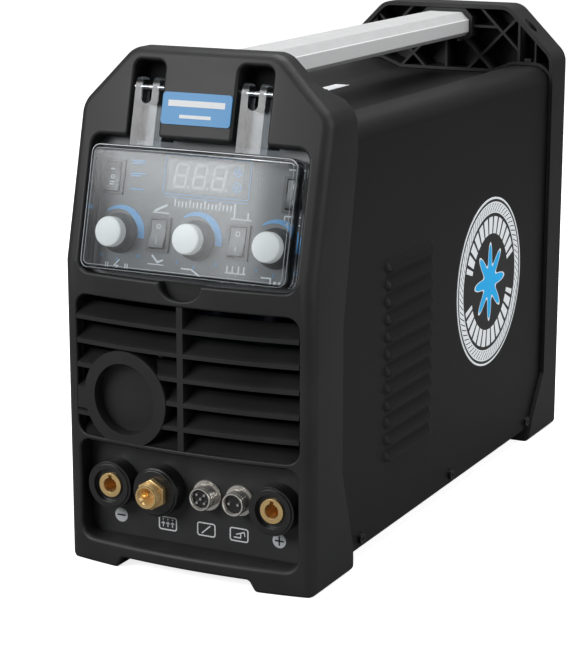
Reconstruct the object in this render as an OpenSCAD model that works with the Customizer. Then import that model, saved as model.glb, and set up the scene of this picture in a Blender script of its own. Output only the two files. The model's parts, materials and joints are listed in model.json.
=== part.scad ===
// Inverter TIG welding machine with a leaned control panel under a clear hinged guard.
// X is the width seen from the front, the front faces -Y, Z is up, and the feet stand on z = 0.
// The origin is the centre of the footprint. Units are millimetres.

/* [Case] */
// Overall width over both bezels
body_w = 168; // [164:1:176]
// Overall height to the top of the bezels
body_h = 315; // [311:1:320]
// Depth from the front bezel's side edges to the rear face
body_d = 414; // [400:1:440]
// Lean of the control panel from the vertical, in degrees
lean = 14; // [10:0.5:16]
// Height at which the front face begins to lean
knee_z = 188; // [184:1:190]
// Radius of the front face's bow, seen from above
bow_r = 450; // [400:10:600]
// Thickness of the plastic bezels' walls
wall = 3; // [2.5:0.1:3.2]

/* [Front] */
// Height of the three knobs' centres, measured up the slope from the knee
knob_s = 19.7; // [18:0.1:22]
// Spacing of the knobs
knob_pitch = 52.5; // [50:0.5:54]
// Depth of the control panel's face behind the slope plane
panel_depth = 9.3; // [9:0.1:10]
// Number of slats in each grille column
slat_count = 6; // [5:1:6]
// Height of the connector row's centres
connector_z = 49.8; // [46:0.1:52]
// Spacing of the two welding sockets
socket_spacing = 111; // [108:1:114]
// Bore of the welding sockets
socket_bore = 9; // [9:0.1:9.2]

/* [Guard] */
// Half width of the clear guard
guard_half = 69; // [66:0.5:70]
// How far the guard stands proud of the bezel
guard_proud = 4.7; // [4:0.1:6]
// Distance of the hinge arms from the centre line
arm_x = 35.3; // [34:0.1:37]

/* [Cover and handle] */
// Half width of the sheet-metal cover
cover_half = 80.6; // [79.6:0.1:80.7]
// Height of the sunk deck under the handle
deck_z = 266; // [262:1:268]
// Height of the cover's shoulders
shoulder_z = 272.3; // [270:0.1:274]
// Thickness of the cover's sheet
sheet = 1.2; // [1:0.1:1.5]
// Width of the handle bar
bar_w = 36; // [32:1:38]
// Height of the handle bar
bar_h = 17; // [16:1:18]
// Number of louvres on each side
louvre_count = 12; // [6:1:12]

/* [Rear] */
// Height of the fan's centre
fan_z = 168; // [160:1:172]
// Cable gland bore
gland_bore = 11; // [8:0.5:12]

/* [Hidden] */
$fn = 64;

// Case
half_w = body_w / 2;
corner = 35;                     // size of the 45 degree corners at the top
foot_in = 50;                    // inner edge of each foot
arch_z = 7;                      // height of the arch between the feet
floor_z = 9.2;                   // top of the bezels' bottom walls
bow_c = sqrt(bow_r * bow_r - half_w * half_w);
sagitta = bow_r - bow_c;
guard_bottom = -3.4;             // lower edge of the guard, up the slope
guard_top = 71.5;                // upper edge of the guard's tray
lip_y = guard_bottom * sin(lean) - (sagitta + guard_proud) * cos(lean);
front_y = -(body_d + lip_y) / 2; // row-frame Y of the front bezel's side edges
rear_edge = 57;                  // depth of the front bezel's side wall at its deepest

// Openings in the front bezel
window_half = 72.5;
window_low = -5;
window_high = 77;
slot_w = 22;
slot_high = 122.3;
slot_floor = -7.8;
hinge_s = 106.6;
hinge_n = 1.5;
knuckle_r = 6;
hinge_pin_r = 1.6;
hinge_pin_l = 25;
grille_half = 75;
grille_low = 81.5;
grille_high = 169;
recess_half = 74;
recess_low = 16;
recess_high = 79;
plate_y = 12;                    // front of the connector plate
plate_t = 2.5;
ring_x = -39.5;
ring_z = 108;
ring_r = 29.7;
cup_r = 22;

// Panel
panel_t = 2.5;
panel_n = -panel_depth;
knob_r = 12;
cap_r = 9;
spindle_r = 3;

// Rear
rear_front = 387;                // front edge of the rear bezel's side walls
rear_plate_y = body_d - wall;
rear_panel_y = 397;
cover_front = 32;
cover_back = 396;
fan_bore_r = 57.5;
fan_y = 372;                     // front of the fan frame
fan_depth = 25;
bar_z = 300.5;                   // centre of the handle bar
bar_front = 30;
screw_ys = [71.5, 215.3, 359];   // cover screws along each side
screw_z = 15.5;
channel_x = 63;                  // screw channels in the rear bezel's corners
top_screw_y = 392;
louvre_y0 = 105.5;
louvre_y1 = 179;
louvre_top = 184;
louvre_pitch = 11.05;
louvre_h = 7.7;

// ---------- placing and outlines ----------

// Y measured from the front bezel's side edges
module at_frame() {
    translate([0, front_y, 0]) children();
}

// Local X across, local Y up the slope from the knee, local Z out of the slope
module on_slope() {
    translate([0, front_y, knee_z]) rotate([90 - lean, 0, 0]) children();
}

// Local X across, local Y up, local Z towards the front, from the plane y
module on_front(y) {
    translate([0, front_y + y, 0]) rotate([90, 0, 0]) children();
}

// Extrudes an outline drawn in Y and Z across the width, centred
module across(width) {
    translate([-width / 2, 0, 0]) rotate([90, 0, 90]) linear_extrude(width) children();
}

// Extrudes an outline drawn in X and Z from y0 to y1
module along(y0, y1) {
    translate([0, y1, 0]) rotate([90, 0, 0]) linear_extrude(y1 - y0) children();
}

function unit(v) = v / norm(v);

function fillet(a, p, b, r, n = 5) = r <= 0 ? [p] :
    let (u = unit(a - p), w = unit(b - p), h = acos(u * w) / 2)
    let (c = p + unit(u + w) * r / sin(h))
    let (s = p + u * r / tan(h) - c, e = p + w * r / tan(h) - c)
    let (a0 = atan2(s[1], s[0]), d = atan2(e[1], e[0]) - a0)
    let (sweep = d > 180 ? d - 360 : d < -180 ? d + 360 : d)
    [for (i = [0:n]) c + r * [cos(a0 + sweep * i / n), sin(a0 + sweep * i / n)]];

// Rounds the corners of an outline whose points are [x, y, radius]
function rounded(pts) = [for (i = [0:len(pts) - 1])
    let (m = len(pts), a = pts[(i + m - 1) % m], p = pts[i], b = pts[(i + 1) % m])
    each fillet([a[0], a[1]], [p[0], p[1]], [b[0], b[1]], p[2])];

function mirrored(pts) = concat(pts, [for (i = [len(pts) - 1:-1:0]) [-pts[i][0], pts[i][1], pts[i][2]]]);

// Bezel outline with feet, seen from the front
module bezel_outline() {
    polygon(rounded(mirrored([[43, arch_z, 5], [foot_in, 0, 5], [half_w, 0, 4],
        [half_w, body_h - corner, 14], [half_w - corner, body_h, 14]])));
}

// The same outline moved in by d, with a straight bottom at height low
module inner_outline(d, low) {
    k = d * (sqrt(2) - 1);
    polygon(rounded(mirrored([[half_w - d, low, 0], [half_w - d, body_h - corner - k, 14 - d],
        [half_w - corner - k, body_h - d, 14 - d]])));
}

// Cover outline moved out by d: sides, shoulders and the sunk deck
module cover_outline(d, low) {
    polygon(rounded(mirrored([[cover_half + d, low, 0], [cover_half + d, shoulder_z + d, 12 + d],
        [52, shoulder_z + d, 5], [36, deck_z + d, 5]])));
}

module rounded_rect(x0, x1, y0, y1, r) {
    polygon(rounded([[x0, y0, r], [x1, y0, r], [x1, y1, r], [x0, y1, r]]));
}

// Handle bar section, moved out by d
module bar_section(d) {
    w = bar_w / 2 + d;
    h = bar_h / 2 + d;
    translate([0, bar_z]) polygon([[-w, -h + 3], [-w + 3, -h], [w - 3, -h], [w, -h + 3],
        [w, h - 5.5], [w - 5.5, h], [-w + 5.5, h], [-w, h - 5.5]]);
}

// Everything behind the bowed and leaned front surface, moved in by d
module bowed(d) {
    intersection() {
        translate([0, bow_c, -20]) cylinder(r = bow_r - d, h = 400, $fn = 200);
        translate([0, 0, knee_z]) rotate([-lean, 0, 0]) translate([0, bow_c, -260])
            cylinder(r = bow_r - d, h = 520, $fn = 200);
    }
}

// Crossed stiffening ribs behind the top of a bezel, seen from the front
module rib_pattern() {
    rib = 1.8;
    for (side = [-1, 1]) {
        translate([side * 44, 295]) rotate(side * 45) square([90, rib], center = true);
        translate([side * 44, 295]) rotate(side * -45) square([90, rib], center = true);
        translate([side * 26.2, 277.7]) rotate(side * -45) square([60, rib], center = true);
        translate([side * 56.5, 290]) square([rib, 60], center = true);
        translate([side * 69, 280]) square([rib, 40], center = true);
        translate([side * 29, 299]) square([20, rib], center = true);
    }
    translate([0, 278]) square([rib, 30], center = true);
}

// The space for ribs: inside the outline, above the cover, outside the handle collar
module rib_space() {
    difference() {
        intersection() {
            inner_outline(wall - 0.5, 240);
            translate([-half_w, 262]) square([body_w, 60]);
        }
        cover_outline(0.4, 200);
        bar_section(1);
        for (side = [-1, 1]) translate([side * channel_x - 5.6, 262]) square([11.2, 60]);
    }
}

// ---------- front ----------

module front_side_profile() {
    polygon([[-30, -5], [55, -5], [55, 14], [38.5, 66], [38.5, 157], [rear_edge, 258],
        [54, 296], [39.5, 296], [39.5, 330], [-30, 330]]);
}

module slope_frame(x0, x1, s0, s1, r, n0, n1) {
    translate([0, 0, knee_z]) rotate([90 - lean, 0, 0]) translate([0, 0, n0])
        linear_extrude(n1 - n0) rounded_rect(x0, x1, s0, s1, r);
}

module front_shell() {
    difference() {
        intersection() {
            bowed(0);
            along(-30, 90) bezel_outline();
        }
        intersection() {
            bowed(wall + 1);
            along(-30, 90) inner_outline(wall, floor_z);
        }
    }
}

// Walls that stand behind the face round each recess
module front_recess_walls() {
    slope_frame(-window_half - wall, window_half + wall, window_low - wall, window_high + wall,
        9, panel_n, 30);
    for (side = [-1, 1])
        slope_frame(side * arm_x - slot_w / 2 - 2, side * arm_x + slot_w / 2 + 2,
            window_high - 2, slot_high + 2, 2, slot_floor - 1.4, 30);
    along(-30, plate_y) rounded_rect(-recess_half - 2.5, recess_half + 2.5,
        recess_low - 2.5, recess_high + 2.5, 9);
    along(-30, 3.9) intersection() {
        translate([0, 184]) circle(r = 17);
        translate([-20, 150]) square([40, 32]);
    }
}

module front_bezel() {
    color("#26272a") at_frame() difference() {
        intersection() {
            union() {
                front_shell();
                intersection() {
                    bowed(1);
                    front_recess_walls();
                }
                intersection() {
                    bowed(2);
                    union() {
                        along(10, rear_edge) intersection() {
                            rib_pattern();
                            rib_space();
                        }
                        along(20, 39.5) bar_section(2.6);
                    }
                }
            }
            across(body_w + 10) front_side_profile();
        }
        slope_frame(-window_half, window_half, window_low, window_high, 7, panel_n - 20, 40);
        for (side = [-1, 1])
            slope_frame(side * arm_x - slot_w / 2, side * arm_x + slot_w / 2,
                window_high - 3, slot_high, 2, slot_floor, 40);
        along(-30, 80) rounded_rect(-recess_half, recess_half, recess_low, recess_high, 8);
        along(-30, 3.9) rounded_rect(-grille_half, grille_half, grille_low, grille_high, 8);
        along(-30, -1.5) translate([0, 184]) circle(r = 13.5);
        along(bar_front - 0.2, 60) bar_section(0.2);
        translate([0, 0, knee_z]) rotate([90 - lean, 0, 0]) translate([0, hinge_s, hinge_n])
            rotate([0, 90, 0]) cylinder(r = hinge_pin_r, h = 2 * arm_x + hinge_pin_l + 0.2, center = true);
        for (side = [-1, 1]) translate([side * 8, 36, 280]) cylinder(r = 2, h = 15);
    }
}

// One sloping slat, following the bow
module slat(z) {
    translate([0, bow_c, 0]) rotate([0, 0, -90 - 12]) rotate_extrude(angle = 24, $fn = 200)
        polygon([[bow_r, z - 2.5], [bow_r, z], [bow_r - 12, z + 7], [bow_r - 12, z + 4.5]]);
}

module front_grille() {
    color("#1f2023") at_frame() difference() {
        union() {
            intersection() {
                bowed(0);
                union() {
                    for (i = [0:slat_count - 1]) slat(156 - 15 * i);
                    along(-30, 4.5) translate([-2, grille_low]) square([4, grille_high - grille_low]);
                    along(-30, 0) translate([-grille_half, 98]) square([12, 13]);
                }
                along(-30, 30) difference() {
                    rounded_rect(-grille_half, grille_half, grille_low, grille_high, 8);
                    translate([ring_x, ring_z]) circle(r = ring_r - 1);
                }
            }
            intersection() {
                bowed(-0.6);
                along(-30, 8) translate([ring_x, ring_z]) difference() {
                    circle(r = ring_r);
                    circle(r = cup_r);
                }
            }
            along(3.5, 6.5) translate([ring_x, ring_z]) circle(r = cup_r + 1);
            for (side = [-1, 1])
                along(4, 12) translate([side * 76.5 - 2.5, 83]) square([5, grille_high - 85]);
        }
        along(-30, 12) translate([-100, 60]) square([200, grille_low - 60]);
    }
}

module connector_plate() {
    color("#232427") at_frame() along(plate_y, plate_y + plate_t) difference() {
        rounded_rect(-76.5, 76.5, 13.5, 81.5, 9);
        for (side = [-1, 1]) translate([side * socket_spacing / 2, connector_z]) circle(r = 11);
        translate([-23.6, connector_z]) circle(r = 6);
        translate([7, connector_z]) circle(r = 6.9);
        translate([29.3, connector_z]) circle(r = 6.9);
    }
}

module control_panel() {
    color("#3a3c40") on_slope() translate([0, 0, panel_n - panel_t]) linear_extrude(panel_t)
        difference() {
            rounded_rect(-window_half - wall, window_half + wall, window_low - wall,
                window_high + wall, 9);
            for (i = [-1:1]) translate([i * knob_pitch, knob_s]) circle(r = 3.7);
            for (p = [[-25.4, 21], [27.7, 21], [-60.5, 52.8], [61.3, 51.2]])
                translate(p) square([13, 19.4], center = true);
            translate([-24, 47.5]) square([51, 19.1]);
        }
}

module badge_plate() {
    color("#5ba4dc") at_frame() intersection() {
        difference() {
            bowed(-0.8);
            bowed(0);
        }
        slope_frame(-22.9, 22.9, 85.2, 104, 2, 0, 40);
    }
}

// ---------- guard ----------

module guard() {
    color("#cfe0ea", 0.45) at_frame() difference() {
        union() {
            intersection() {
                difference() {
                    translate([0, 0, knee_z]) rotate([-lean, 0, 0]) translate([0, bow_c, -260])
                        cylinder(r = bow_r + guard_proud, h = 520, $fn = 200);
                    intersection() {
                        translate([0, 0, knee_z]) rotate([-lean, 0, 0])
                            translate([0, bow_c, -260])
                            cylinder(r = bow_r + guard_proud - 2.2, h = 520, $fn = 200);
                        slope_frame(-guard_half + 2.2, guard_half - 2.2, guard_bottom + 2.2,
                            guard_top - 2.2, 4, -20, 40);
                    }
                }
                slope_frame(-guard_half, guard_half, guard_bottom, guard_top, 6, -5.5, 40);
            }
            for (side = [-1, 1]) {
                slope_frame(side * arm_x - 8, side * arm_x + 8, guard_top - 2, hinge_s, 0, -3, 6);
                translate([0, 0, knee_z]) rotate([90 - lean, 0, 0])
                    translate([side * arm_x, hinge_s, hinge_n]) rotate([0, 90, 0])
                    cylinder(r = knuckle_r, h = 16, center = true);
            }
        }
        for (side = [-1, 1]) {
            slope_frame(side * arm_x - 3.4, side * arm_x + 3.4, 98, 120, 0, -20, 40);
            translate([0, 0, knee_z]) rotate([90 - lean, 0, 0])
                translate([side * arm_x, hinge_s, hinge_n]) rotate([0, 90, 0])
                cylinder(r = hinge_pin_r + 0.08, h = 30, center = true);
        }
    }
}

module guard_pins() {
    color("#b8bcc0") on_slope() for (side = [-1, 1])
        translate([side * arm_x, hinge_s, hinge_n]) rotate([0, 90, 0])
        cylinder(r = hinge_pin_r, h = hinge_pin_l, center = true);
}

// ---------- cover, base and rear ----------

// One louvre pressed out of the side wall and open downwards
module louvre(side, top_z) {
    low = top_z - louvre_h;
    out = cover_half + 2.4;
    mirror([side < 0 ? 1 : 0, 0, 0]) along(louvre_y0, louvre_y1)
        polygon([[cover_half - 0.6, top_z], [cover_half, top_z], [out, low + 1.6], [out, low],
            [out - 1, low], [out - 1, low + 1.4], [cover_half - 0.6, top_z - 2]]);
}

module cover() {
    color("#1b1c1e") at_frame() {
        difference() {
            along(cover_front, cover_back) difference() {
                cover_outline(0, 9.5);
                cover_outline(-sheet, 0);
            }
            for (side = [-1, 1]) {
                for (y = screw_ys) translate([side * cover_half, y, screw_z])
                    rotate([0, 90, 0]) cylinder(r = 1.75, h = 10, center = true);
                for (i = [0:louvre_count - 1])
                    translate([side * cover_half, (louvre_y0 + louvre_y1) / 2,
                        louvre_top - louvre_pitch * i - louvre_h + 2.5])
                        cube([6, louvre_y1 - louvre_y0 - 2.5, 5], center = true);
                translate([side * channel_x, top_screw_y, 260]) cylinder(r = 1.75, h = 30);
            }
        }
        for (side = [-1, 1], i = [0:louvre_count - 1])
            louvre(side, louvre_top - louvre_pitch * i);
    }
}

module base_plate() {
    inner = cover_half - sheet;
    color("#8f9499") at_frame() difference() {
        union() {
            translate([-inner, 34, 9.5]) cube([2 * inner, 362, 1.5]);
            for (side = [-1, 1])
                translate([side * (inner - 0.6) - 0.6, 60, 9.5]) cube([1.2, 320, 13]);
            for (x = [-66, 66], y = [80, 330]) translate([x, y, 10]) cylinder(r = 4, h = 118);
        }
        for (side = [-1, 1], y = screw_ys) translate([side * inner, y, screw_z])
            rotate([0, 90, 0]) cylinder(r = 1.75, h = 10, center = true);
    }
}

module rear_side_profile() {
    polygon([[359, -5], [359, 3], [367, 18], [rear_front, 46], [rear_front, 320],
        [body_d + 5, 320], [body_d + 5, -5]]);
}

module rear_bezel() {
    color("#26272a") at_frame() difference() {
        union() {
            intersection() {
                difference() {
                    along(355, body_d) bezel_outline();
                    along(350, rear_plate_y) inner_outline(wall, floor_z);
                }
                across(body_w + 10) rear_side_profile();
            }
            along(390, rear_plate_y + 1) intersection() {
                rib_pattern();
                rib_space();
            }
            along(389, rear_plate_y + 1) difference() {
                intersection() {
                    cover_outline(2.6, 255);
                    inner_outline(wall - 0.5, 240);
                }
                cover_outline(0.4, 200);
            }
            along(388, rear_plate_y + 1) bar_section(2.6);
            along(400, rear_plate_y + 1) rounded_rect(-71, 71, 19, 254, 9);
        }
        along(380, rear_plate_y) bar_section(0.2);
        along(350, body_d + 5) rounded_rect(-68, 68, 22, 251, 8);
        for (side = [-1, 1]) {
            translate([side * channel_x, top_screw_y + 4, 279]) cylinder(r = 4.4, h = 60);
            translate([side * channel_x, top_screw_y, 260]) cylinder(r = 1.75, h = 30);
            translate([side * 8, 398, 280]) cylinder(r = 2, h = 15);
        }
    }
}

module rear_panel() {
    color("#17181a") at_frame() along(rear_panel_y, rear_panel_y + 1.5) difference() {
        rounded_rect(-79, 79, 12, 260, 4);
        translate([0, fan_z]) circle(r = fan_bore_r);
        for (x = [-52.5, 52.5], z = [-52.5, 52.5]) translate([x, fan_z + z]) circle(r = 2.1);
        translate([42, 70]) square([21, 28.4], center = true);
        translate([-42, 66]) circle(r = 10);
        translate([0, 66]) circle(r = 5);
    }
}

module handle_bar() {
    color("#d5d7d9") at_frame() difference() {
        along(bar_front, rear_plate_y) difference() {
            bar_section(0);
            bar_section(-2.5);
        }
        for (side = [-1, 1], y = [36, 398]) translate([side * 8, y, 285]) cylinder(r = 2, h = 12);
    }
}

module pan_screw(r, head_r, length) {
    cylinder(r = r, h = length);
    translate([0, 0, -2.2]) difference() {
        cylinder(r = head_r, h = 2.2);
        for (a = [0, 90]) rotate(a) cube([0.9, head_r * 1.2, 1.6], center = true);
    }
}

module handle_screws() {
    color("#4a4d50") at_frame() for (side = [-1, 1], y = [36, 398])
        translate([side * 8, y, bar_z - bar_h / 2 - 2.6]) pan_screw(2, 4, 9);
}

module case_screws() {
    color("#2d2f31") at_frame() {
        for (y = screw_ys, side = [-1, 1])
            translate([side * cover_half, y, screw_z]) rotate([0, -side * 90, 0])
                pan_screw(1.75, 3.5, 8);
        for (side = [-1, 1]) translate([side * channel_x, top_screw_y, shoulder_z + 2.6])
            rotate([180, 0, 0]) pan_screw(1.75, 3.5, 12);
    }
}

module side_decals() {
    color("#2fa0dc") at_frame() for (side = [-1, 1])
        translate([side * (cover_half + 0.15), 280, 136]) rotate([0, 90, 0])
            cylinder(r = 58.5, h = 0.3, center = true, $fn = 120);
}

// ---------- controls ----------

module knob_skirt(i) {
    color("#1a1a1c") on_slope() translate([i * knob_pitch, knob_s, panel_n])
        rotate_extrude() polygon([[0, -9], [spindle_r, -9], [spindle_r, 0.5], [knob_r, 0.5],
            [knob_r, 2.2], [10, 4], [9.6, 8], [0, 8]]);
}

module knob_cap(i) {
    color("#e8e8e4") on_slope() translate([i * knob_pitch, knob_s, panel_n])
        rotate_extrude() polygon([[0, 8], [cap_r, 8], [cap_r, 13.4], [cap_r - 0.9, 14.3],
            [0, 14.3]]);
}

module pot(i) {
    color("#9aa0a5") on_slope() translate([i * knob_pitch, knob_s, panel_n]) difference() {
        union() {
            translate([0, 0, -14.5]) cylinder(r = 8.2, h = 14.5 - panel_t);
            translate([0, 0, -panel_t - 0.1]) cylinder(r = 3.65, h = panel_t);
        }
        translate([0, 0, -9.6]) cylinder(r = spindle_r + 0.06, h = 20);
    }
}

// A rocker housing seated on a panel whose face is z = 0; l runs along Y
module rocker_housing(l, w, depth) {
    difference() {
        union() {
            translate([-w / 2, -l / 2, 0]) cube([w, l, 1.5]);
            translate([-w / 2 + 1.1, -l / 2 + 0.9, -depth]) cube([w - 2.2, l - 1.8, depth + 0.5]);
        }
        translate([-w / 2 + 2.1, -l / 2 + 1.45, -6.2]) cube([w - 4.2, l - 2.9, 12]);
        translate([0, 0, 0.3]) rotate([0, 90, 0]) cylinder(r = 1.06, h = w - 2.2, center = true);
    }
    for (y = [-l / 4, l / 4])
        translate([-2, y - 0.4, -depth - 2.6]) cube([4, 0.8, 2.6]);
}

// A rocker button tilted about its pivot by the given angle
module rocker_button(l, w, tilt) {
    e = l / 2 - 2.2;
    translate([0, 0, 0.3]) rotate([tilt, 0, 0]) {
        translate([-(w / 2 - 2.5), 0, 0]) rotate([90, 0, 90]) linear_extrude(w - 5)
            polygon([[-e, 2.6], [0, 1.4], [e, 2.6], [e - 0.3, -1], [e / 3, -4], [-e / 3, -4],
                [-e + 0.3, -1]]);
        rotate([0, 90, 0]) cylinder(r = 1, h = w - 3, center = true);
    }
}

module place_switch(p) {
    on_slope() translate([p[0], p[1], panel_n]) children();
}

module panel_rocker_housing(p) {
    color("#101113") place_switch(p) rocker_housing(21, 15, 12);
}

module panel_rocker_button(p, tilt) {
    color("#151618") place_switch(p) rocker_button(21, 15, tilt);
}

module display_module() {
    color("#202124") on_slope() translate([-23.8, 47.7, panel_n - 10]) cube([50.6, 18.7, 8.8]);
}

module display_window() {
    color("#300a0c", 0.8) on_slope() translate([-23.9, 47.6, panel_n - 1.2])
        cube([50.8, 18.9, 1.3]);
}

// ---------- connectors ----------

module socket_body(side) {
    color("#131416") translate([side * socket_spacing / 2, 0, connector_z]) on_front(plate_y)
        difference() {
            union() {
                cylinder(r = 15, h = plate_y - 1);
                cylinder(r = 13.4, h = plate_y);
                translate([0, 0, -plate_t - 6]) cylinder(r = 10.95, h = 9);
                translate([0, 0, -plate_t - 6]) cylinder(r = 14, h = 6, $fn = 6);
            }
            translate([0, 0, -20]) cylinder(r = 7.6, h = 60);
            translate([0, 0, plate_y - 3]) cylinder(r = 10.4, h = 10);
        }
}

module socket_insert(side) {
    color("#c9a24a") translate([side * socket_spacing / 2, 0, connector_z]) on_front(plate_y)
        difference() {
            translate([0, 0, -18]) cylinder(r = 7.6, h = 18 + plate_y - 1.5);
            translate([0, 0, -13]) cylinder(r = socket_bore / 2, h = 40);
            translate([-1.2, 3, plate_y - 9]) cube([2.4, 3.2, 20]);
        }
}

module gas_outlet_flange() {
    color("#131416") translate([-23.6, 0, connector_z]) on_front(plate_y) difference() {
        union() {
            cylinder(r = 15.4, h = plate_y - 1.2);
            cylinder(r = 14, h = plate_y);
        }
        translate([0, 0, -1]) cylinder(r = 5.6, h = 40);
    }
}

module gas_outlet_fitting() {
    color("#c9a24a") translate([-23.6, 0, connector_z]) on_front(plate_y) difference() {
        union() {
            translate([0, 0, plate_y]) cylinder(r = 17 / sqrt(3), h = 4, $fn = 6);
            translate([0, 0, plate_y + 4]) cylinder(r = 7.5, h = 6);
            translate([0, 0, -plate_t - 12]) cylinder(r = 5.6, h = plate_y + plate_t + 12);
        }
        translate([0, 0, -20]) cylinder(r = 1.5, h = 60);
        translate([0, 0, plate_y + 5]) cylinder(r1 = 1.5, r2 = 6, h = 5.01);
    }
}

module threaded_shell(x) {
    color("#b9bcc0") translate([x, 0, connector_z]) on_front(plate_y) difference() {
        union() {
            cylinder(r = 9.6, h = 1.6);
            cylinder(r = 7.25, h = 10.5);
            translate([0, 0, -plate_t - 7]) cylinder(r = 6.85, h = plate_t + 7);
            translate([0, 0, -plate_t - 3]) cylinder(r = 10, h = 3, $fn = 6);
        }
        translate([0, 0, -20]) cylinder(r = 5.9, h = 60);
    }
}

module pin_insert(x, count) {
    color("#111214") translate([x, 0, connector_z]) on_front(plate_y) difference() {
        translate([0, 0, -plate_t - 8]) cylinder(r = 5.9, h = plate_t + 8 + 8);
        translate([0, -5.9, 8]) cube([1.8, 1.8, 4], center = true);
        contact_row(count);
    }
}

function contact_at(count, i) = count == 2 ? [(i - 0.5) * 6, 0] :
    i == 4 ? [0, 0] : 3.6 * [cos(45 + 90 * i), sin(45 + 90 * i)];

module contact_row(count) {
    for (i = [0:count - 1]) translate([contact_at(count, i)[0], contact_at(count, i)[1], -14])
        cylinder(r = 0.8, h = 23.4);
}

module connector_contacts() {
    color("#d8d2c0") for (c = [[7, 5], [29.3, 2]])
        translate([c[0], 0, connector_z]) on_front(plate_y) contact_row(c[1]);
}

// ---------- rear fittings ----------

module fan_frame() {
    color("#151618") at_frame() difference() {
        union() {
            along(fan_y, fan_y + fan_depth) difference() {
                translate([0, fan_z]) rounded_rect(-59.5, 59.5, -59.5, 59.5, 5);
                translate([0, fan_z]) circle(r = fan_bore_r);
            }
            along(fan_y, fan_y + 3) translate([0, fan_z]) {
                circle(r = 21);
                for (a = [45:90:315]) rotate(a) translate([0, -1.5]) square([58, 3]);
            }
            along(fan_y, fan_y + 12) translate([0, fan_z]) circle(r = 5);
        }
        along(fan_y - 1, fan_y + 13) translate([0, fan_z]) circle(r = 2.56);
        for (x = [-52.5, 52.5], z = [-52.5, 52.5])
            translate([x, fan_y - 1, fan_z + z]) rotate([-90, 0, 0]) cylinder(r = 2.1, h = 40);
    }
}

module fan_rotor() {
    color("#1c1d20") at_frame() translate([0, fan_y + 4, fan_z]) rotate([-90, 0, 0])
        difference() {
            union() {
                cylinder(r = 20, h = 18.5);
                intersection() {
                    for (i = [0:6]) rotate(i * 360 / 7) translate([36, 0, 9.5])
                        rotate([32, 0, 0]) cube([42, 1.8, 26], center = true);
                    cylinder(r = 56.3, h = 18.5);
                }
            }
            translate([0, 0, -1]) cylinder(r = 6, h = 12);
        }
    color("#9aa0a5") at_frame() translate([0, fan_y + 0.5, fan_z]) rotate([-90, 0, 0])
        cylinder(r = 2.5, h = 15);
}

module fan_guard() {
    color("#c4c7ca") at_frame() translate([0, rear_panel_y + 2.7, fan_z]) rotate([-90, 0, 0]) {
        for (r = [16:10:56]) rotate_extrude($fn = 96) translate([r, 1.2]) circle(r = 1.1, $fn = 24);
        for (a = [45:90:315]) rotate([0, 0, a]) translate([14, 0, -0.1]) rotate([0, 90, 0])
            cylinder(r = 1.1, h = 61, $fn = 24);
        for (x = [-52.5, 52.5], z = [-52.5, 52.5]) translate([x, z, -1.2]) difference() {
            cylinder(r = 4.5, h = 1.4);
            translate([0, 0, -1]) cylinder(r = 2.1, h = 4);
        }
    }
}

module place_rear(x, z) {
    at_frame() translate([x, rear_panel_y + 1.5, z]) rotate([-90, 0, 0]) rotate([0, 0, 180])
        children();
}

module mains_switch_housing() {
    color("#101113") place_rear(42, 70) rocker_housing(30, 23, 14);
}

module mains_switch_rocker() {
    color("#7c1414") place_rear(42, 70) rocker_button(30, 23, -7);
}

module cable_gland() {
    color("#202124") place_rear(-42, 66) difference() {
        union() {
            cylinder(r = 13, h = 5, $fn = 6);
            translate([0, 0, 5]) cylinder(r = 10.5, h = 6);
            translate([0, 0, 11]) cylinder(r1 = 10.5, r2 = 8, h = 4);
            translate([0, 0, -9.5]) cylinder(r = 9.9, h = 10);
            translate([0, 0, -7]) cylinder(r = 13, h = 5.5, $fn = 6);
        }
        translate([0, 0, -20]) cylinder(r = gland_bore / 2, h = 60);
    }
}

module gas_inlet() {
    color("#c9a24a") place_rear(0, 66) difference() {
        union() {
            cylinder(r = 7.5, h = 5, $fn = 6);
            translate([0, 0, 4]) cylinder(r = 3.4, h = 11);
            for (i = [0:2]) translate([0, 0, 5.4 + 3.2 * i]) cylinder(r1 = 4.4, r2 = 3.5, h = 3);
            translate([0, 0, -15]) cylinder(r = 4.9, h = 15.5);
        }
        translate([0, 0, -20]) cylinder(r = 2, h = 60);
    }
}

// ---------- inside ----------

module main_board() {
    color("#1f6b3a") at_frame() translate([-72, 70, 128]) difference() {
        cube([144, 270, 1.6]);
        for (x = [6, 138], y = [10, 260]) translate([x, y, -1]) cylinder(r = 1.6, h = 4);
    }
}

module control_board() {
    color("#1f6b3a") on_slope() translate([-62, 2, panel_n - 16.3]) cube([124, 72, 1.6]);
}

module heat_sink() {
    cube([44, 100, 5]);
    for (i = [0:8]) translate([i * 5.2, 0, 4]) cube([1.8, 100, 38]);
}

module heat_sinks() {
    color("#c7cacc") at_frame() for (x = [-54, 10]) translate([x, 225, 60]) heat_sink();
}

module power_transformer() {
    color("#5a3b22") at_frame() translate([0, 120, 11]) {
        difference() {
            translate([-36, -22, 0]) cube([72, 44, 62]);
            for (side = [-1, 1]) translate([side * 16 - 8, -23, 12]) cube([16, 46, 38]);
        }
        translate([-7.9, -30, 12.5]) cube([15.8, 60, 37]);
        for (side = [-1, 1]) translate([side * 12 - 4, -30, 12.5]) cube([8, 60, 37]);
    }
}

module output_choke() {
    color("#b06a2a") at_frame() translate([0, 190, 36]) rotate([90, 0, 0])
        rotate_extrude() translate([17, 0]) circle(r = 7.5);
}

module capacitor_bank() {
    color("#2b3a55") at_frame() for (x = [-40, 0, 40], y = [110, 155])
        translate([x, y, 129.6]) cylinder(r = 15, h = 46);
}

module gas_valve() {
    color("#6f7478") at_frame() {
        translate([-12, 350, 57]) cube([24, 33.5, 18]);
        translate([0, 366, 31]) cylinder(r = 9, h = 26);
        translate([-7, 359, 11]) cube([14, 14, 20]);
    }
}

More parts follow.
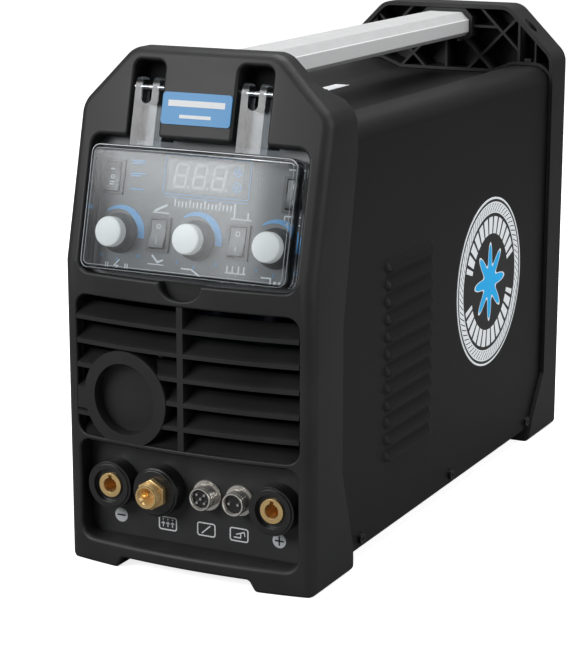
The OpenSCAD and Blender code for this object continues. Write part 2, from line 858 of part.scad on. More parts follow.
// Hose from the valve along the base to the gas outlet, with a collar at each bend
module gas_hose() {
    r = 4;
    path = [[-12, 366, 66], [-52, 366, 66], [-52, 366, 20], [-52, 45, 20],
        [-52, 45, connector_z], [-23.6, 45, connector_z], [-23.6, 26.5, connector_z]];
    color("#2a2c2f") at_frame() {
        for (i = [0:len(path) - 2]) {
            step = path[i + 1] - path[i];
            translate(path[i]) rotate([0, acos(step[2] / norm(step)), atan2(step[1], step[0])])
                cylinder(r = r, h = norm(step));
        }
        for (i = [1:len(path) - 2]) translate(path[i]) sphere(r = r + 1);
    }
}

front_bezel();
front_grille();
connector_plate();
control_panel();
badge_plate();
guard();
guard_pins();
cover();
base_plate();
rear_bezel();
rear_panel();
handle_bar();
handle_screws();
case_screws();
side_decals();
knob_skirt(-1);  // current_knob_skirt
knob_cap(-1);  // current_knob_cap
knob_skirt(0);  // slope_knob_skirt
knob_cap(0);  // slope_knob_cap
knob_skirt(1);  // gas_knob_skirt
knob_cap(1);  // gas_knob_cap
pot(-1);  // current_pot
pot(0);  // slope_pot
pot(1);  // gas_pot
panel_rocker_housing([-25.4, 21]);  // process_switch_housing
panel_rocker_button([-25.4, 21], -8);  // process_switch_button
panel_rocker_housing([27.7, 21]);  // trigger_switch_housing
panel_rocker_button([27.7, 21], -8);  // trigger_switch_button
panel_rocker_housing([-60.5, 52.8]);  // start_switch_housing
panel_rocker_button([-60.5, 52.8], 0);  // start_switch_button
panel_rocker_housing([61.3, 51.2]);  // remote_switch_housing
panel_rocker_button([61.3, 51.2], -8);  // remote_switch_button
display_module();
display_window();
socket_body(-1);  // negative_socket_body
socket_insert(-1);  // negative_socket_insert
socket_body(1);  // positive_socket_body
socket_insert(1);  // positive_socket_insert
gas_outlet_flange();
gas_outlet_fitting();
threaded_shell(7);  // five_pin_shell
pin_insert(7, 5);  // five_pin_insert
threaded_shell(29.3);  // two_pin_shell
pin_insert(29.3, 2);  // two_pin_insert
connector_contacts();
fan_frame();
fan_rotor();
fan_guard();
mains_switch_housing();
mains_switch_rocker();
cable_gland();
gas_inlet();
main_board();
control_board();
heat_sinks();
power_transformer();
output_choke();
capacitor_bank();
gas_valve();
gas_hose();
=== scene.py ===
"""The looks of a TIG welding machine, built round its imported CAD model.

Lengths in the builders are millimetres in the design's own frame, where Y is measured back from the
side edges of the front bezel. Kit.piece() brings every piece to metres in the frame of the CAD.
"""

import json
import logging
import math
from dataclasses import dataclass
from enum import Enum
from typing import Callable, Sequence

import bmesh
import bpy
from mathutils import Matrix, Vector
from mathutils.geometry import intersect_point_line


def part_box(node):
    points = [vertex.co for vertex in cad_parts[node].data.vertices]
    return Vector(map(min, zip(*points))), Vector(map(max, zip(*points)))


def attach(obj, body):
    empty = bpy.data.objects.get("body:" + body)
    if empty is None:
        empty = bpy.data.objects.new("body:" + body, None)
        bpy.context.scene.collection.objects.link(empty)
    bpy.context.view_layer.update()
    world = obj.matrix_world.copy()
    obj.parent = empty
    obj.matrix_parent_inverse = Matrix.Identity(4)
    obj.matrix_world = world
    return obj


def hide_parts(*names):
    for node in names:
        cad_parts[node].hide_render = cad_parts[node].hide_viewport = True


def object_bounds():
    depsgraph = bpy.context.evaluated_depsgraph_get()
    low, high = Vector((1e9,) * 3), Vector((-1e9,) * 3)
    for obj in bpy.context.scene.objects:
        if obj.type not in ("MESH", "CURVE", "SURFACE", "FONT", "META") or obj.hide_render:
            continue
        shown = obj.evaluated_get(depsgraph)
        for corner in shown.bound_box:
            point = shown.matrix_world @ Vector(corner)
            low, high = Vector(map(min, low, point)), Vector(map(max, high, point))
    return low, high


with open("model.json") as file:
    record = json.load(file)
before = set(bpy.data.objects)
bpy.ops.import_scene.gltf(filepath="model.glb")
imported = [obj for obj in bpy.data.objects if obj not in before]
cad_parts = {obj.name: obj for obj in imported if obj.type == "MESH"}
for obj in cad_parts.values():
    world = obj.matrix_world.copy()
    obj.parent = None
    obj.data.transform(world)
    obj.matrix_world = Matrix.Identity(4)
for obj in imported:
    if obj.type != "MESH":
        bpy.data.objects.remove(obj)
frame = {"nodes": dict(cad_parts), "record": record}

CAD_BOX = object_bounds()
LOG = logging.getLogger("tig_welder")
MM = 0.001
REAR_PANEL_Y = 397.0
FRONT_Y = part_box("rear_panel")[0].y / MM - REAR_PANEL_Y
LEAN = math.radians(14)
KNEE_Z = 188.0
KNEE_DRIFT = 0.1228  # how much the knee rises for each millimetre that the front stands out
BOW_R = 450.0
HALF_W = 84.0
BOW_C = math.sqrt(BOW_R**2 - HALF_W**2)
CORNER_STEPS = 6
ROLL_STEPS = 5
TURN_STEPS = 64
PRINT = 0.15  # how far printing stands out
Point = tuple[float, float, float]
Flat = tuple[float, float]
Edges = list[bmesh.types.BMEdge]
Placed = dict[bmesh.types.BMVert, Vector]


# ---------------------------------------------------------------- shader helpers


class Value:
    """A number socket of a node tree that Python arithmetic can be written on."""

    def __init__(self, tree: "Shade", socket: bpy.types.NodeSocket) -> None:
        """Keeps the tree and the output socket."""
        self.tree = tree
        self.socket = socket

    def _math(self, operation: str, *values: "float | Value") -> "Value":
        """Adds one Math node.

        Args:
            operation: the Math node's operation.
            values: its inputs in order.

        Returns:
            The node's result.
        """
        return self.tree.node("ShaderNodeMath", {"operation": operation}, dict(enumerate(values)))

    def __add__(self, other: "float | Value") -> "Value":
        """self + other."""
        return self._math("ADD", self, other)

    __radd__ = __add__

    def __sub__(self, other: "float | Value") -> "Value":
        """self - other."""
        return self._math("SUBTRACT", self, other)

    def __rsub__(self, other: "float | Value") -> "Value":
        """other - self."""
        return self._math("SUBTRACT", other, self)

    def __mul__(self, other: "float | Value") -> "Value":
        """self * other."""
        return self._math("MULTIPLY", self, other)

    __rmul__ = __mul__

    def __gt__(self, other: "float | Value") -> "Value":
        """1 where self is over other, else 0."""
        return self._math("GREATER_THAN", self, other)

    def __lt__(self, other: "float | Value") -> "Value":
        """1 where self is under other, else 0."""
        return self._math("LESS_THAN", self, other)

    def __pow__(self, other: "float | Value") -> "Value":
        """self to the power of other."""
        return self._math("POWER", self, other)

    def __abs__(self) -> "Value":
        """The absolute value."""
        return self._math("ABSOLUTE", self)

    def __mod__(self, other: "float | Value") -> "Value":
        """The floored remainder of self / other."""
        return self._math("FLOORED_MODULO", self, other)

    def cos(self) -> "Value":
        """The cosine."""
        return self._math("COSINE", self)

    def sin(self) -> "Value":
        """The sine."""
        return self._math("SINE", self)

    def angle(self, other: "Value") -> "Value":
        """The angle of the point (other, self)."""
        return self._math("ARCTAN2", self, other)

    def most(self, other: "float | Value") -> "Value":
        """The larger of the two."""
        return self._math("MAXIMUM", self, other)

    def ramp(self, low: float, high: float, to_low: float = 0.0, to_high: float = 1.0) -> "Value":
        """Goes smoothly from to_low at low to to_high at high, and stays between them.

        Args:
            low: where the change starts.
            high: where it ends.
            to_low: the result at low.
            to_high: the result at high.

        Returns:
            The mapped value.
        """
        return self.tree.node(
            "ShaderNodeMapRange", {"interpolation_type": "SMOOTHSTEP"},
            {"Value": self, "From Min": low, "From Max": high, "To Min": to_low, "To Max": to_high})

    def band(self, low: float, high: float, edge: float) -> "Value":
        """1 between low and high with soft edges, else 0."""
        return self.ramp(low - edge, low + edge) * self.ramp(high - edge, high + edge, 1.0, 0.0)


class Shade:
    """One material's node tree, with a Principled shader ready."""

    def __init__(self, name: str) -> None:
        """Starts the material.

        Args:
            name: the material's name.
        """
        self.material = bpy.data.materials.new(name)
        self.material.use_nodes = True
        self.tree = self.material.node_tree
        self.shader = self.tree.nodes["Principled BSDF"]
        self.object = self.node("ShaderNodeTexCoord", {}, {}, output="Object").socket

    def node(self, kind: str, settings: dict, inputs: dict, output: "str | int" = 0) -> Value:
        """Adds a node.

        Args:
            kind: the node's type.
            settings: its properties, set before its sockets.
            inputs: a value, colour or link for each socket, by name or number.
            output: which result to hand back.

        Returns:
            The wanted output.
        """
        made = self.tree.nodes.new(kind)
        for key, value in settings.items():
            setattr(made, key, value)
        for key, value in inputs.items():
            self.feed(made.inputs[key], value)
        return Value(self, made.outputs[output])

    def feed(self, socket: bpy.types.NodeSocket, value: object) -> None:
        """Links a result into a socket, or sets the socket's own value."""
        if isinstance(value, Value):
            self.tree.links.new(value.socket, socket)
        elif isinstance(value, bpy.types.NodeSocket):
            self.tree.links.new(value, socket)
        elif isinstance(value, tuple) and len(value) == 3 and socket.type == "RGBA":
            socket.default_value = (*value, 1.0)
        else:
            socket.default_value = value

    def set(self, **inputs: object) -> None:
        """Feeds the Principled shader; an underscore stands for a space."""
        for key, value in inputs.items():
            self.feed(self.shader.inputs[key.replace("_", " ")], value)

    def noise(self, size: float, detail: float = 3.0, stretch: Point = (1, 1, 1),
              distortion: float = 0.0) -> Value:
        """Noise of about the given grain size.

        Args:
            size: the size of one grain in millimetres.
            detail: the number of finer layers.
            stretch: how much longer the grain is along each axis.
            distortion: how far the grain is bent.

        Returns:
            The noise from 0 to 1.
        """
        scale = 1.0 / (size * MM)
        vector = self.node("ShaderNodeVectorMath", {"operation": "MULTIPLY"},
                           {0: self.object, 1: tuple(scale / s for s in stretch)})
        return self.node("ShaderNodeTexNoise", {}, {
            "Vector": vector, "Scale": 1.0, "Detail": detail, "Distortion": distortion})

    def axis(self, name: str, centre: float = 0.0) -> Value:
        """One object coordinate in millimetres, measured from centre in the design's frame."""
        part = self.node("ShaderNodeSeparateXYZ", {}, {0: self.object}, output=name)
        shift = FRONT_Y if name == "Y" else 0.0
        return part * (1 / MM) - (centre + shift)

    def mix(self, mask: Value, a: object, b: object) -> Value:
        """Mixes two colours.

        Args:
            mask: 0 gives a, 1 gives b.
            a: the first colour.
            b: the second colour.

        Returns:
            The mixed colour.
        """
        made = self.tree.nodes.new("ShaderNodeMix")
        made.data_type = "RGBA"
        self.feed(made.inputs[0], mask)
        self.feed(made.inputs[6], a)
        self.feed(made.inputs[7], b)
        return Value(self, made.outputs[2])

    def bump(self, height: Value, depth: float) -> None:
        """Feeds a height, worth depth millimetres, to the shader's normal."""
        sockets = {"Strength": 1.0, "Distance": depth * MM, "Height": height}
        self.set(Normal=self.node("ShaderNodeBump", {}, sockets, output="Normal"))


def scaled(colour: Point, factor: float) -> Point:
    """A colour made lighter or darker."""
    return tuple(min(1.0, c * factor) for c in colour)


# ---------------------------------------------------------------- finishes


@dataclass(frozen=True)
class MouldedPlastic:
    """Injection-moulded plastic with a fine spark-eroded grain."""

    name: str
    colour: Point
    roughness: float = 0.48
    grain: float = 0.45
    depth: float = 0.05
    mottle: float = 0.16
    coat: float = 0.0
    shine: float = 0.5

    def make(self) -> bpy.types.Material:
        """Builds the material: grain in the bump, handling marks in roughness and colour."""
        shade = Shade(self.name)
        marks = shade.noise(38, 4)
        fine = shade.noise(self.grain, 2)
        colour = shade.mix(marks.ramp(0.3, 0.7), scaled(self.colour, 1 - self.mottle),
                           scaled(self.colour, 1 + self.mottle))
        colour = shade.mix(fine.ramp(0.35, 0.75) * 0.35, colour, scaled(self.colour, 1.5))
        shade.set(Base_Color=colour, Coat_Weight=self.coat, Coat_Roughness=0.18,
                  Specular_IOR_Level=self.shine,
                  Roughness=self.roughness + (marks - 0.5) * 0.16 + (fine - 0.5) * 0.1)
        shade.bump(fine + shade.noise(self.grain * 3.2, 1) * 0.6, self.depth)
        return shade.material


@dataclass(frozen=True)
class PaintedSteel:
    """Powder-coated or painted sheet with a slight orange peel."""

    name: str
    colour: Point
    roughness: float = 0.42
    peel: float = 1.3
    depth: float = 0.03
    fleck: float = 0.25
    shine: float = 0.5

    def make(self) -> bpy.types.Material:
        """Builds the material: orange peel in the bump, fine flecks and soft smears."""
        shade = Shade(self.name)
        smear = shade.noise(60, 4, (1, 2.2, 1))
        peel = shade.noise(self.peel, 2)
        fine = shade.noise(0.35, 1)
        colour = shade.mix(smear.ramp(0.3, 0.7), scaled(self.colour, 0.86),
                           scaled(self.colour, 1.14))
        colour = shade.mix(fine.ramp(0.6, 0.8) * self.fleck, colour, scaled(self.colour, 2.4))
        shade.set(Base_Color=colour, Specular_IOR_Level=self.shine,
                  Roughness=self.roughness + (smear - 0.5) * 0.14 + (peel - 0.5) * 0.06)
        shade.bump(peel + fine * 0.35, self.depth)
        return shade.material


class Grain(Enum):
    """How a metal surface was worked: which way its lines run."""

    ALONG_Y = (1, 60, 1)
    ALONG_X = (60, 1, 1)
    TURNED = (1, 1, 1)


@dataclass(frozen=True)
class Metal:
    """Bare, plated or anodised metal with the lines of its working."""

    name: str
    colour: Point
    roughness: float = 0.28
    grain: Grain = Grain.TURNED
    line: float = 0.5
    depth: float = 0.01
    stain: float = 0.12
    metallic: float = 1.0
    # where set, the x beyond which the colour is painted lighter: painted light on the sides
    painted_lit_side: float = 0.0

    def make(self) -> bpy.types.Material:
        """Builds the material: working lines in roughness, colour and bump, a faint stain, and
        painted-lighter sides where set.
        """
        shade = Shade(self.name)
        lines = shade.noise(self.line, 3, self.grain.value)
        stain = shade.noise(14, 4)
        colour = shade.mix(stain.ramp(0.35, 0.7), scaled(self.colour, 1 - self.stain), self.colour)
        colour = shade.mix(lines.ramp(0.3, 0.7) * 0.3, colour, scaled(self.colour, 1.12))
        # painted light: faces beyond the side limit are made lighter, standing in for the light the
        # sides catch
        if self.painted_lit_side:
            side = abs(shade.axis("X")).ramp(self.painted_lit_side, self.painted_lit_side + 0.5)
            colour = shade.mix(side, colour, scaled(self.colour, 1.5))
        shade.set(Base_Color=colour, Metallic=self.metallic,
                  Roughness=self.roughness + (lines - 0.5) * 0.16 + (stain - 0.5) * 0.08)
        shade.bump(lines, self.depth)
        return shade.material


@dataclass(frozen=True)
class Ink:
    """Screen-printed ink, with the mesh of the screen just visible."""

    name: str
    colour: Point
    roughness: float = 0.5
    painted_glow: float = 0.0

    def make(self) -> bpy.types.Material:
        """Builds the material, with a painted glow where one is set."""
        shade = Shade(self.name)
        cover = shade.noise(0.4, 2)
        colour = shade.mix(cover.ramp(0.2, 0.6), scaled(self.colour, 0.86), self.colour)
        shade.set(Base_Color=colour, Roughness=self.roughness + (cover - 0.5) * 0.1)
        # painted light: emission that makes the ink glow as if lit
        if self.painted_glow:
            shade.set(Emission_Color=self.colour, Emission_Strength=self.painted_glow)
        shade.bump(cover, 0.01)
        return shade.material


@dataclass(frozen=True)
class ClearWall:
    """Thin clear polycarbonate: see-through, glossy, a little hazy where hands have rubbed it."""

    name: str
    tint: Point = (0.93, 0.95, 0.96)
    roughness: float = 0.09
    haze: float = 0.015
    ior: float = 1.3

    def make(self) -> bpy.types.Material:
        """Builds the material: a mirror coat over see-through plastic, stronger at a slant."""
        shade = Shade(self.name)
        scuff = shade.noise(4, 6, distortion=1.5)
        shade.set(Base_Color=(1.0, 1.0, 1.0), Metallic=1.0,
                  Roughness=self.roughness + scuff.ramp(0.55, 0.8) * 0.1)
        shade.bump(shade.noise(30, 1), 0.04)
        clear = shade.node("ShaderNodeBsdfTransparent", {}, {"Color": self.tint})
        gloss = shade.node("ShaderNodeFresnel", {}, {"IOR": self.ior})
        mixed = shade.node("ShaderNodeMixShader", {},
                           {0: gloss + self.haze * scuff, 1: clear, 2: shade.shader.outputs[0]})
        shade.tree.links.new(mixed.socket, shade.tree.nodes["Material Output"].inputs[0])
        return shade.material


@dataclass(frozen=True)
class Board:
    """Fibreglass circuit board with tracks under its green lacquer."""

    name: str
    colour: Point = (0.01, 0.09, 0.035)

    def make(self) -> bpy.types.Material:
        """Builds the material: lanes of copper track and small pads."""
        shade = Shade(self.name)
        lane = abs((shade.axis("X") + shade.noise(9, 0) * 6) % 3.0 - 1.5) < 0.45
        broken = shade.noise(11, 1) > 0.5
        shade.set(Base_Color=shade.mix(lane * broken, self.colour, scaled(self.colour, 2.2)),
                  Roughness=0.3 + lane * 0.1)
        shade.bump(lane * broken, 0.04)
        return shade.material


@dataclass(frozen=True)
class Winding:
    """Enamelled copper wire, wound turn by turn."""

    name: str
    colour: Point = (0.5, 0.2, 0.07)
    pitch: float = 1.4

    def make(self) -> bpy.types.Material:
        """Builds the material: round turns side by side along Y, darkened between turns as painted
        shade.
        """
        shade = Shade(self.name)
        turn = (shade.axis("Y") * (math.pi / self.pitch)).sin()
        # painted shade: the colour drops to about a third where the turns meet
        shade.set(Base_Color=shade.mix(abs(turn), scaled(self.colour, 0.35), self.colour),
                  Metallic=0.7, Roughness=0.3 + shade.noise(6) * 0.1)
        shade.bump(abs(turn), 0.3)
        return shade.material


@dataclass(frozen=True)
class RoundDecal:
    """The round side decal: rings of marks round a plain spark, with no lettering."""

    name: str
    centre_y: float = 280.0
    centre_z: float = 136.0
    edge: float = 0.12
    circles: tuple[Flat, ...] = ((57.1, 58.6), (54.3, 55.3), (47.6, 48.5))
    rope: Flat = (48.6, 54.2)
    strands: int = 72
    bars: Flat = (33.5, 45.2)
    bar_count: int = 30
    spark: Flat = (11.0, 26.0)
    spark_rim: float = 1.8

    def make(self) -> bpy.types.Material:
        """Builds the material from the distance and angle about the decal's centre, with a painted
        glow in its own colours.
        """
        shade = Shade(self.name)
        y, z = shade.axis("Y", self.centre_y), shade.axis("Z", self.centre_z)
        r = (y * y + z * z) ** 0.5
        a = z.angle(y)
        turns = a * (1 / (2 * math.pi))
        white = r.band(*self.rope, self.edge) * (
            (turns * self.strands + r * 0.22) % 1.0).band(0.22, 1.1, 0.05)
        for circle in self.circles:
            white = white.most(r.band(*circle, self.edge))
        marks = ((turns * self.bar_count) % 1.0).band(0.13, 0.87, 0.03)
        white = white.most(r.band(*self.bars, self.edge) * marks * (abs(a.sin()) > 0.3))
        inner, outer = self.spark
        spark = abs((a * 4.0).cos()) ** 3.0 * (outer - inner) + inner
        star = r < spark
        white = white.most(r < spark + self.spark_rim) * (1 - star)
        colour = shade.mix(star, (0.012, 0.012, 0.013), (0.01, 0.42, 0.86))
        colour = shade.mix(white, colour, (0.8, 0.84, 0.86))
        # painted light: the emission makes the decal glow though it is no lamp
        shade.set(Base_Color=colour, Roughness=0.34 + shade.noise(20) * 0.1, Emission_Color=colour,
                  Emission_Strength=0.35)
        shade.bump(shade.noise(1.2, 2), 0.02)
        return shade.material


FINISHES = (
    MouldedPlastic("bezel_plastic", (0.017, 0.0172, 0.0178), 0.5, shine=0.42),
    # painted shade: near-black plastic for the hinge slot floors, where shade falls
    MouldedPlastic("painted_slot_shade", (0.006, 0.006, 0.006), 0.7, shine=0.12),
    MouldedPlastic("grille_plastic", (0.014, 0.0142, 0.0148), 0.5, shine=0.42),
    MouldedPlastic("plate_plastic", (0.026, 0.0265, 0.028), 0.44, 0.3, 0.02),
    PaintedSteel("panel_print", (0.075, 0.08, 0.087), 0.38, 0.6, 0.01),
    Ink("badge_blue", (0.02, 0.25, 0.56), 0.36),
    ClearWall("clear_guard", roughness=0.16, ior=1.29),
    ClearWall("clear_arm", (0.8, 0.84, 0.87), 0.28, 0.05, 1.4),
    Metal("steel_pin", (0.62, 0.62, 0.64), 0.25),
    PaintedSteel("cover_paint", (0.0095, 0.0095, 0.01), 0.46, shine=0.3),
    Metal("zinc_steel", (0.55, 0.56, 0.57), 0.35, stain=0.3),
    # the bar's sides beyond x = 17.2 mm are painted lighter: painted light
    Metal("anodised_bar", (0.6, 0.605, 0.61), 0.5, Grain.ALONG_Y, 0.5, 0.015, 0.05, 0.15, 17.2),
    Metal("screw_black", (0.1, 0.1, 0.105), 0.34),
    RoundDecal("decal"),
    MouldedPlastic("knob_black", (0.03, 0.031, 0.033), 0.4, 0.3, 0.02),
    # the knob caps carry a painted glow
    Ink("cap_white", (0.88, 0.88, 0.86), 0.42, 0.16),
    Metal("pot_metal", (0.6, 0.6, 0.6), 0.35),
    MouldedPlastic("switch_body", (0.014, 0.014, 0.015), 0.4, 0.3, 0.02),
    MouldedPlastic("switch_button", (0.018, 0.018, 0.0195), 0.3, 0.4, 0.01),
    MouldedPlastic("mains_rocker_red", (0.45, 0.02, 0.02), 0.32, 0.5, 0.01),
    MouldedPlastic("display_black", (0.03, 0.03, 0.032), 0.5),
    MouldedPlastic("window_tint", (0.05, 0.052, 0.056), 0.2, 1.0, 0.004, 0.05),
    MouldedPlastic("socket_black", (0.012, 0.012, 0.013), 0.3, 0.6, 0.01, coat=0.3),
    Metal("brass", (0.95, 0.66, 0.3), 0.24, stain=0.15, metallic=0.72),
    Metal("nickel", (0.86, 0.83, 0.78), 0.18, metallic=0.75),
    Metal("contact_metal", (0.85, 0.84, 0.82), 0.18),
    MouldedPlastic("fan_plastic", (0.02, 0.02, 0.022), 0.45),
    Metal("plated_wire", (0.65, 0.65, 0.66), 0.22),
    MouldedPlastic("gland_plastic", (0.02, 0.02, 0.021), 0.45),
    Board("circuit_board"),
    Metal("heat_sink_aluminium", (0.72, 0.73, 0.74), 0.38, Grain.ALONG_Y),
    PaintedSteel("transformer_core", (0.06, 0.06, 0.065), 0.5, 2.0),
    Winding("copper_winding"),
    PaintedSteel("capacitor_sleeve", (0.02, 0.03, 0.08), 0.3, 3.0),
    Metal("valve_metal", (0.6, 0.55, 0.42), 0.3),
    MouldedPlastic("hose_rubber", (0.02, 0.02, 0.02), 0.6, 0.8),
    Ink("print_white", (0.8, 0.82, 0.84)),
    # painted highlight: the pale lines round the guard's edge
    Ink("painted_edge_highlight", (0.62, 0.65, 0.67), 0.2),
    Ink("print_blue", (0.1, 0.38, 0.75)),
    Ink("print_grey", (0.55, 0.58, 0.6)),
    # the unlit segments carry a faint painted glow
    Ink("segment_pale", (0.42, 0.41, 0.4), 0.35, 0.06),
)


class Finishes:
    """Every finish by name, made once and shared."""

    def __init__(self) -> None:
        """Builds all materials."""
        self.made = {finish.name: finish.make() for finish in FINISHES}

    def __getitem__(self, name: str) -> bpy.types.Material:
        """The material of that name."""
        return self.made[name]

    def dress_nodes(self) -> None:
        """Gives each carried-over CAD node the finish of its material slot."""
        for part in frame["record"]["subparts"]:
            name, finish = part["node"], part["material_slot"]
            data = frame["nodes"][name].data
            data.materials.clear()
            data.materials.append(self.made["panel_print" if name == "control_panel" else finish])


# ---------------------------------------------------------------- the stage


@dataclass
class Stage:
    """Floor, lights and camera."""

    camera_place: Point = (0.5879, -1.22867, 0.4435)
    azimuth: float = 26.96
    elevation: float = 13.73
    lens: float = 113.57
    backdrop: float = 1.1
    fill: float = 0.16

    @staticmethod
    def light(name: str, place: Point, aim: Point, size: Flat, power: float) -> None:
        """Hangs one soft light.

        Args:
            name: the light's name.
            place: where it is, in metres.
            aim: the point it faces.
            size: its width and height in metres.
            power: its power in watts.
        """
        data = bpy.data.lights.new(name, "AREA")
        data.shape = "RECTANGLE"
        data.size, data.size_y = size
        data.energy = power
        lamp = bpy.data.objects.new(name, data)
        lamp.location = place
        lamp.rotation_euler = (Vector(aim) - Vector(place)).to_track_quat("-Z", "Y").to_euler()
        bpy.context.scene.collection.objects.link(lamp)

    def build(self) -> None:
        """Sets the floor, the world, the lights and the camera."""
        mesh = bpy.data.meshes.new("floor")
        bm = bmesh.new()
        bmesh.ops.create_grid(bm, x_segments=1, y_segments=1, size=12)
        bm.to_mesh(mesh)
        bm.free()
        floor = bpy.data.objects.new("floor", mesh)
        bpy.context.scene.collection.objects.link(floor)
        shade = Shade("floor_paper")
        shade.set(Base_Color=shade.mix(shade.noise(400, 2), (0.9, 0.9, 0.9), (0.93, 0.93, 0.93)),
                  Roughness=0.9, Specular_IOR_Level=0.1, Emission_Color=(1.0, 1.0, 1.0),
                  Emission_Strength=0.82)
        dim = shade.node("ShaderNodeBsdfDiffuse", {}, {"Color": (0.22, 0.22, 0.22)})
        seen = shade.node("ShaderNodeLightPath", {}, {}, output="Is Camera Ray")
        mixed = shade.node("ShaderNodeMixShader", {}, {0: seen, 1: dim, 2: shade.shader.outputs[0]})
        shade.tree.links.new(mixed.socket, shade.tree.nodes["Material Output"].inputs[0])
        mesh.materials.append(shade.material)
        world = bpy.data.worlds.new("studio")
        world.use_nodes = True
        tree = world.node_tree
        path = tree.nodes.new("ShaderNodeLightPath")
        level = tree.nodes.new("ShaderNodeMapRange")
        level.inputs["To Min"].default_value = self.fill
        level.inputs["To Max"].default_value = self.backdrop
        tree.links.new(path.outputs["Is Camera Ray"], level.inputs["Value"])
        tree.links.new(level.outputs[0], tree.nodes["Background"].inputs["Strength"])
        tree.nodes["Background"].inputs["Color"].default_value = (1, 1, 1, 1)
        bpy.context.scene.world = world
        bpy.context.scene.view_settings.view_transform = "Standard"
        self.light("front_left", (-1.22, -2.02, 1.24), (0, -0.1, 0.2), (1.65, 1.0), 40)
        self.light("right_side", (2.3, -0.2, 1.1), (0, 0, 0.16), (1.6, 1.6), 18)
        self.light("top", (0.1, 0.3, 2.2), (0, 0, 0.2), (1.8, 1.8), 48)
        data = bpy.data.cameras.new("camera")
        data.lens = self.lens
        data.sensor_width = 36.0
        camera = bpy.data.objects.new("camera", data)
        camera.location = self.camera_place
        camera.rotation_euler = (math.radians(90 - self.elevation), 0, math.radians(self.azimuth))
        bpy.context.scene.collection.objects.link(camera)
        bpy.context.scene.camera = camera


# ---------------------------------------------------------------- mesh helpers


SLOPE = Matrix(((1, 0, 0, 0), (0, math.sin(LEAN), -math.cos(LEAN), 0),
                (0, math.cos(LEAN), math.sin(LEAN), KNEE_Z), (0, 0, 0, 1)))
TO_ROW = Matrix.Translation((0, FRONT_Y * MM, 0)) @ Matrix.Scale(MM, 4)


def facing(y: float) -> Matrix:
    """Places a drawing in XY, raised along Z, on the plane Y = y so that it faces the front."""
    return Matrix(((1, 0, 0, 0), (0, 0, -1, y), (0, 1, 0, 0), (0, 0, 0, 1)))


def bow(x: float) -> float:
    """How far the bowed front stands out at x."""
    return math.sqrt(BOW_R**2 - x * x) - BOW_C


def on_face(x: float, up: float, proud: float = 0.0) -> Vector:
    """A point of the bowed front, up along its surface from the floor.

    Args:
        x: across the machine.
        up: height along the surface; over the knee it runs up the slope.
        proud: how far out of the surface.

    Returns:
        The point in the design's frame.
    """
    out = bow(x) + proud
    if up < KNEE_Z + KNEE_DRIFT * out:
        return Vector((x, -out, up))
    return SLOPE @ Vector((x, up - KNEE_Z, out))


def outline(bm: bmesh.types.BMesh, corners: Sequence[Point]) -> None:
    """Lays a flat closed outline in XY and rounds its corners.

    Args:
        bm: the bmesh to add to.
        corners: each corner's x, y and radius, in order.
    """
    verts = [bm.verts.new((x, y, 0)) for x, y, _ in corners]
    bm.faces.new(verts)
    count = len(corners)
    for i, (vert, (x, y, r)) in enumerate(zip(verts, corners)):
        if r <= 0:
            continue
        back = Vector(corners[i - 1][:2]) - Vector((x, y))
        ahead = Vector(corners[(i + 1) % count][:2]) - Vector((x, y))
        reach = r / math.tan(back.angle(ahead) / 2)
        bmesh.ops.bevel(bm, geom=[vert], offset=reach, offset_type="OFFSET",
                        segments=CORNER_STEPS, profile=0.5, affect="VERTICES", material=-1)


def box_corners(x0: float, x1: float, y0: float, y1: float, r: float) -> list[Point]:
    """The corners of a rounded rectangle."""
    return [(x0, y0, r), (x1, y0, r), (x1, y1, r), (x0, y1, r)]


def fill(bm: bmesh.types.BMesh) -> None:
    """Turns nested outlines into one flat sheet with holes."""
    bmesh.ops.delete(bm, geom=bm.faces[:], context="FACES_ONLY")
    bmesh.ops.triangle_fill(bm, use_beauty=True, use_dissolve=False, edges=bm.edges[:],
                            normal=(0, 0, 1))


def cut(bm: bmesh.types.BMesh, place: Point, normal: Point) -> None:
    """Cuts every face along the plane through a place."""
    bmesh.ops.bisect_plane(bm, geom=bm.verts[:] + bm.edges[:] + bm.faces[:], dist=1e-4,
                           plane_co=place, plane_no=normal)


def slice_sheet(bm: bmesh.types.BMesh, across: Sequence[float], up: Sequence[float] = ()) -> None:
    """Cuts a flat sheet into clean cells and drops the fill's own diagonals.

    Args:
        bm: the sheet, flat in XY.
        across: the X of each upright cut.
        up: the Y of each level cut.
    """
    for x in across:
        cut(bm, (x, 0, 0), (1, 0, 0))
    for y in up:
        cut(bm, (0, y, 0), (0, 1, 0))
    bmesh.ops.remove_doubles(bm, verts=bm.verts[:], dist=0.02)

    def kept(edge: bmesh.types.BMEdge) -> bool:
        """True for an edge that lies along a cut."""
        a, b = (v.co for v in edge.verts)
        return (any(abs(a.x - x) < 0.03 and abs(b.x - x) < 0.03 for x in across)
                or any(abs(a.y - y) < 0.03 and abs(b.y - y) < 0.03 for y in up))

    bmesh.ops.dissolve_edges(bm, edges=[e for e in bm.edges if e.is_manifold and not kept(e)],
                             use_verts=False, use_face_split=False)


def rims(bm: bmesh.types.BMesh) -> list[Edges]:
    """Every open rim of a sheet as a list of its edges, the longest round first."""
    left = {e for e in bm.edges if e.is_boundary}
    found = []
    while left:
        rim, reach = [], [left.pop()]
        while reach:
            edge = reach.pop()
            rim.append(edge)
            near = {e for v in edge.verts for e in v.link_edges if e in left}
            left -= near
            reach.extend(near)
        found.append(rim)
    return sorted(found, key=lambda rim: -sum(e.calc_length() for e in rim))


